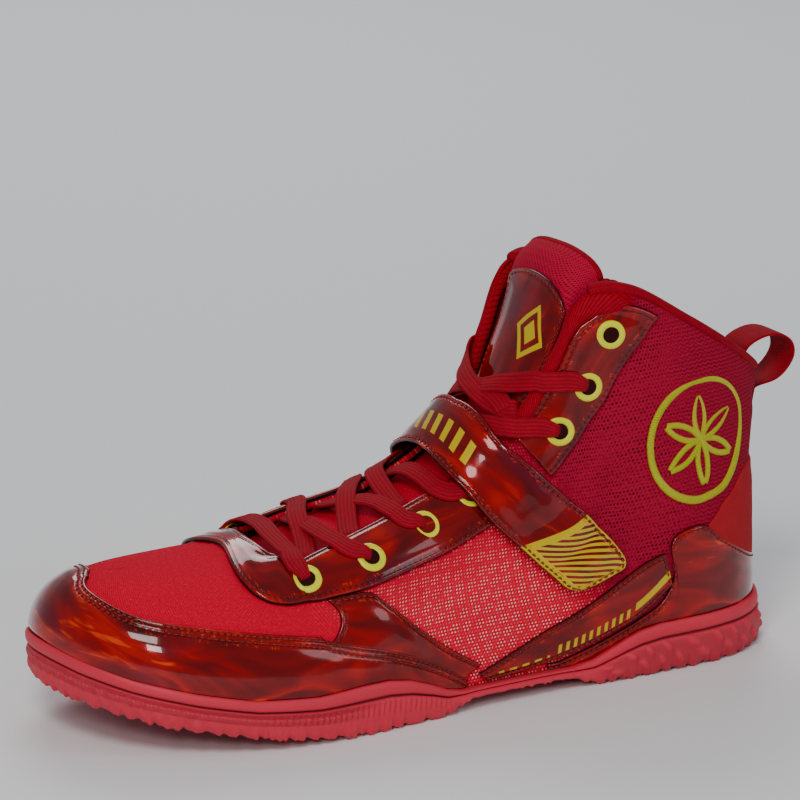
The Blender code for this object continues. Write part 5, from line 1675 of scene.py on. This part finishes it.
class SHOE_OT_stage(bpy.types.Operator):
    """Pale floor, soft studio lights and the camera."""
    bl_idname = "shoe.stage"
    bl_label = "Stage"

    def execute(self, context):
        bpy.ops.object.select_all(action="DESELECT")
        bpy.ops.mesh.primitive_grid_add(x_subdivisions=40, y_subdivisions=40, size=6)
        floor = context.active_object
        floor.name = "studio_floor"
        for vertex in floor.data.vertices:
            behind = max(0.0, vertex.co.y - 1.2)
            vertex.co.z = 0.35 * behind ** 2
        floor.data.shade_smooth()
        paint = Paint("pale_floor", Roughness=0.7, Specular_IOR_Level=0.2)
        paint.shader.inputs["Base Color"].default_value = FLOOR_COLOUR
        floor.data.materials.append(paint.material)
        world = bpy.data.worlds.new("soft_studio")
        context.scene.world = world
        world.use_nodes = True
        sky = world.node_tree.nodes["Background"]
        sky.inputs["Color"].default_value = SKY_COLOUR
        sky.inputs["Strength"].default_value = SKY_STRENGTH
        for light in LIGHTS:
            self.light(*light)
        self.camera()
        return {"FINISHED"}

    def light(self, name, place, width, share, tint):
        lamp = bpy.data.lights.new(name, "AREA")
        lamp.energy = size("key_power") * share
        lamp.size = width
        lamp.color = tint
        obj = bpy.data.objects.new(name, lamp)
        bpy.context.scene.collection.objects.link(obj)
        obj.location = place
        obj.rotation_euler = (Vector((0, 0, 0.06)) - Vector(place)).to_track_quat("-Z", "Y").to_euler()

    def camera(self):
        """The photograph's angle: from the lateral side, a little in front and above."""
        level = math.cos(ELEVATION)
        back = Vector((math.sin(AZIMUTH) * level, -math.cos(AZIMUTH) * level, math.sin(ELEVATION)))
        right = Vector((math.cos(AZIMUTH), math.sin(AZIMUTH), 0))
        up = back.cross(right)
        aim = Vector((LENGTH / 2 - 0.140 + SHIFT[0], SHIFT[1], 0.060))
        lens = bpy.data.cameras.new("photo_view")
        lens.sensor_width = 36
        lens.lens = CAMERA_LENS
        camera = bpy.data.objects.new("photo_view", lens)
        bpy.context.scene.collection.objects.link(camera)
        camera.location = aim + back * CAMERA_DISTANCE
        look = aim + up * 0.0419 - right * 0.0025
        camera.rotation_euler = (look - camera.location).to_track_quat("-Z", "Y").to_euler()
        bpy.context.scene.camera = camera


def stripe_marks(u, v):
    """Growing dashes, a row of slanted bars and a long bar along the side stripe."""
    slanted = u - v * 0.5
    dashes = slanted.wave(5.2).step(-0.3, -0.1) * u.within(6.0, 27.0, 0.2)
    rows = slanted.wave(3.3).step(0.1, 0.25) * slanted.within(27.2, 61.4, 0.1)
    bar = slanted.within(62.5, 83.0, 0.2)
    marks = dashes * v.within(2.6, 3.5, 0.15) + rows * v.within(2.7, 5.9, 0.15)
    return (marks + bar * v.within(3.9, 6.6, 0.15)).step(0.2, 0.8)


def strap_marks(u, v):
    """A framed patch of slanted lines at the strap's end and a row of bars higher up."""
    inside = u.within(2.6, 25.2, 0.15) * v.within(2.7, 24.2, 0.15)
    lines = (u * 0.84 + v * 0.54).wave(2.55).step(-0.15, 0.1)
    patch = (1 - u.step(27.8, 27.95)) * (1 - inside * (1 - lines))
    slanted = u - v * 0.4
    bars = slanted.wave(6.6).step(0.05, 0.2) * slanted.within(62.6, 102.2, 0.2)
    return (patch + bars * v.within(7.0, 16.0, 0.2)).step(0.2, 0.8)


def tongue_marks(u, v):
    """A plain lozenge outline round a smaller lozenge."""
    x = (v - 15.0).maths("ABSOLUTE")
    y = (u - 24.4).maths("ABSOLUTE")
    lozenge = x * 1.2 + y
    ring = lozenge.within(7.8, 10.6, 0.2)
    middle = 1 - lozenge.step(4.6, 4.8)
    return (ring + middle).step(0.2, 0.8)


MAKERS = {
    "film": lambda: film_material("red_film", seam_rows()),
    "double_film": lambda: film_material("double_sewn_film", seam_rows(ROW_GAP)),
    "stripe_print": lambda: film_material("stripe_film", (size("seam_inset") * 0.8,), stripe_marks),
    "strap_print": lambda: film_material("strap_film", seam_rows(), strap_marks),
    "tongue_print": lambda: film_material("tongue_film", seam_rows(), tongue_marks),
    "upper": upper_material,
    "lining": lambda: fabric_material("lining_cloth", (0.16, 0.001, 0.006), pitch=1.1, tilt=0.4),
    "ribbed": ribbed_material,
    "binding": lambda: fabric_material("binding_cloth", colour("lace"), pitch=0.8, tilt=0.5),
    "tape": lambda: fabric_material("loop_tape", colour("lace"), pitch=1.3, tilt=1.0, spread=0.45),
    "gore": lambda: fabric_material("gore_cloth", (0.42, 0.012, 0.020), pitch=0.7, tilt=0.3, depth=0.1,
                                    spread=0.2),
    "tongue_mesh": net_material,
    "insole_cloth": lambda: fabric_material("insole_cloth", (0.13, 0.001, 0.005), pitch=1.0, tilt=0.5),
    "lace": lace_material,
    "rubber": rubber_material,
    "lime_paint": lambda: lime_material("eyelet_paint"),
    "lime_thread": lambda: lime_material("embroidery_thread", thread=True),
    "seam_thread": thread_material,
    # Painted shade for the eyelets' holes
    "hole_shade": lambda: fabric_material("eyelet_hole", (0.030, 0.0006, 0.002), pitch=1.0, tilt=0.5,
                                         depth=0.02),
}


class SHOE_PT_panel(bpy.types.Panel):
    """Lists the shoe's pieces, sizes and colours in the sidebar."""
    bl_idname = "SHOE_PT_panel"
    bl_label = "Wrestling shoe"
    bl_space_type = "VIEW_3D"
    bl_region_type = "UI"
    bl_category = "Shoe"

    def draw(self, context):
        for maker in OPERATORS:
            self.layout.operator(maker.bl_idname)
        for group in (context.scene.shoe_sizes, context.scene.shoe_colours):
            for name in group.__annotations__:
                self.layout.prop(group, name)


OPERATORS = (
    SHOE_OT_stage, SHOE_OT_sole, SHOE_OT_insole, SHOE_OT_upper, SHOE_OT_toe_guard, SHOE_OT_eyestays,
    SHOE_OT_side_panels, SHOE_OT_heel_panels, SHOE_OT_collar, SHOE_OT_tongue, SHOE_OT_eyelets,
    SHOE_OT_laces, SHOE_OT_strap, SHOE_OT_pull_loop, SHOE_OT_emblem,
)


def register():
    for group in (ShoeColours, ShoeSizes, *OPERATORS, SHOE_PT_panel):
        bpy.utils.register_class(group)
    bpy.types.Scene.shoe_colours = bpy.props.PointerProperty(type=ShoeColours)
    bpy.types.Scene.shoe_sizes = bpy.props.PointerProperty(type=ShoeSizes)


def unregister():
    del bpy.types.Scene.shoe_sizes
    del bpy.types.Scene.shoe_colours
    for group in (SHOE_PT_panel, *reversed(OPERATORS), ShoeSizes, ShoeColours):
        bpy.utils.unregister_class(group)


def main():
    """Builds the stage and every piece."""
    register()
    for maker in OPERATORS:
        group, name = maker.bl_idname.split(".")
        getattr(getattr(bpy.ops, group), name)()


if __name__ == "__main__":
    main()
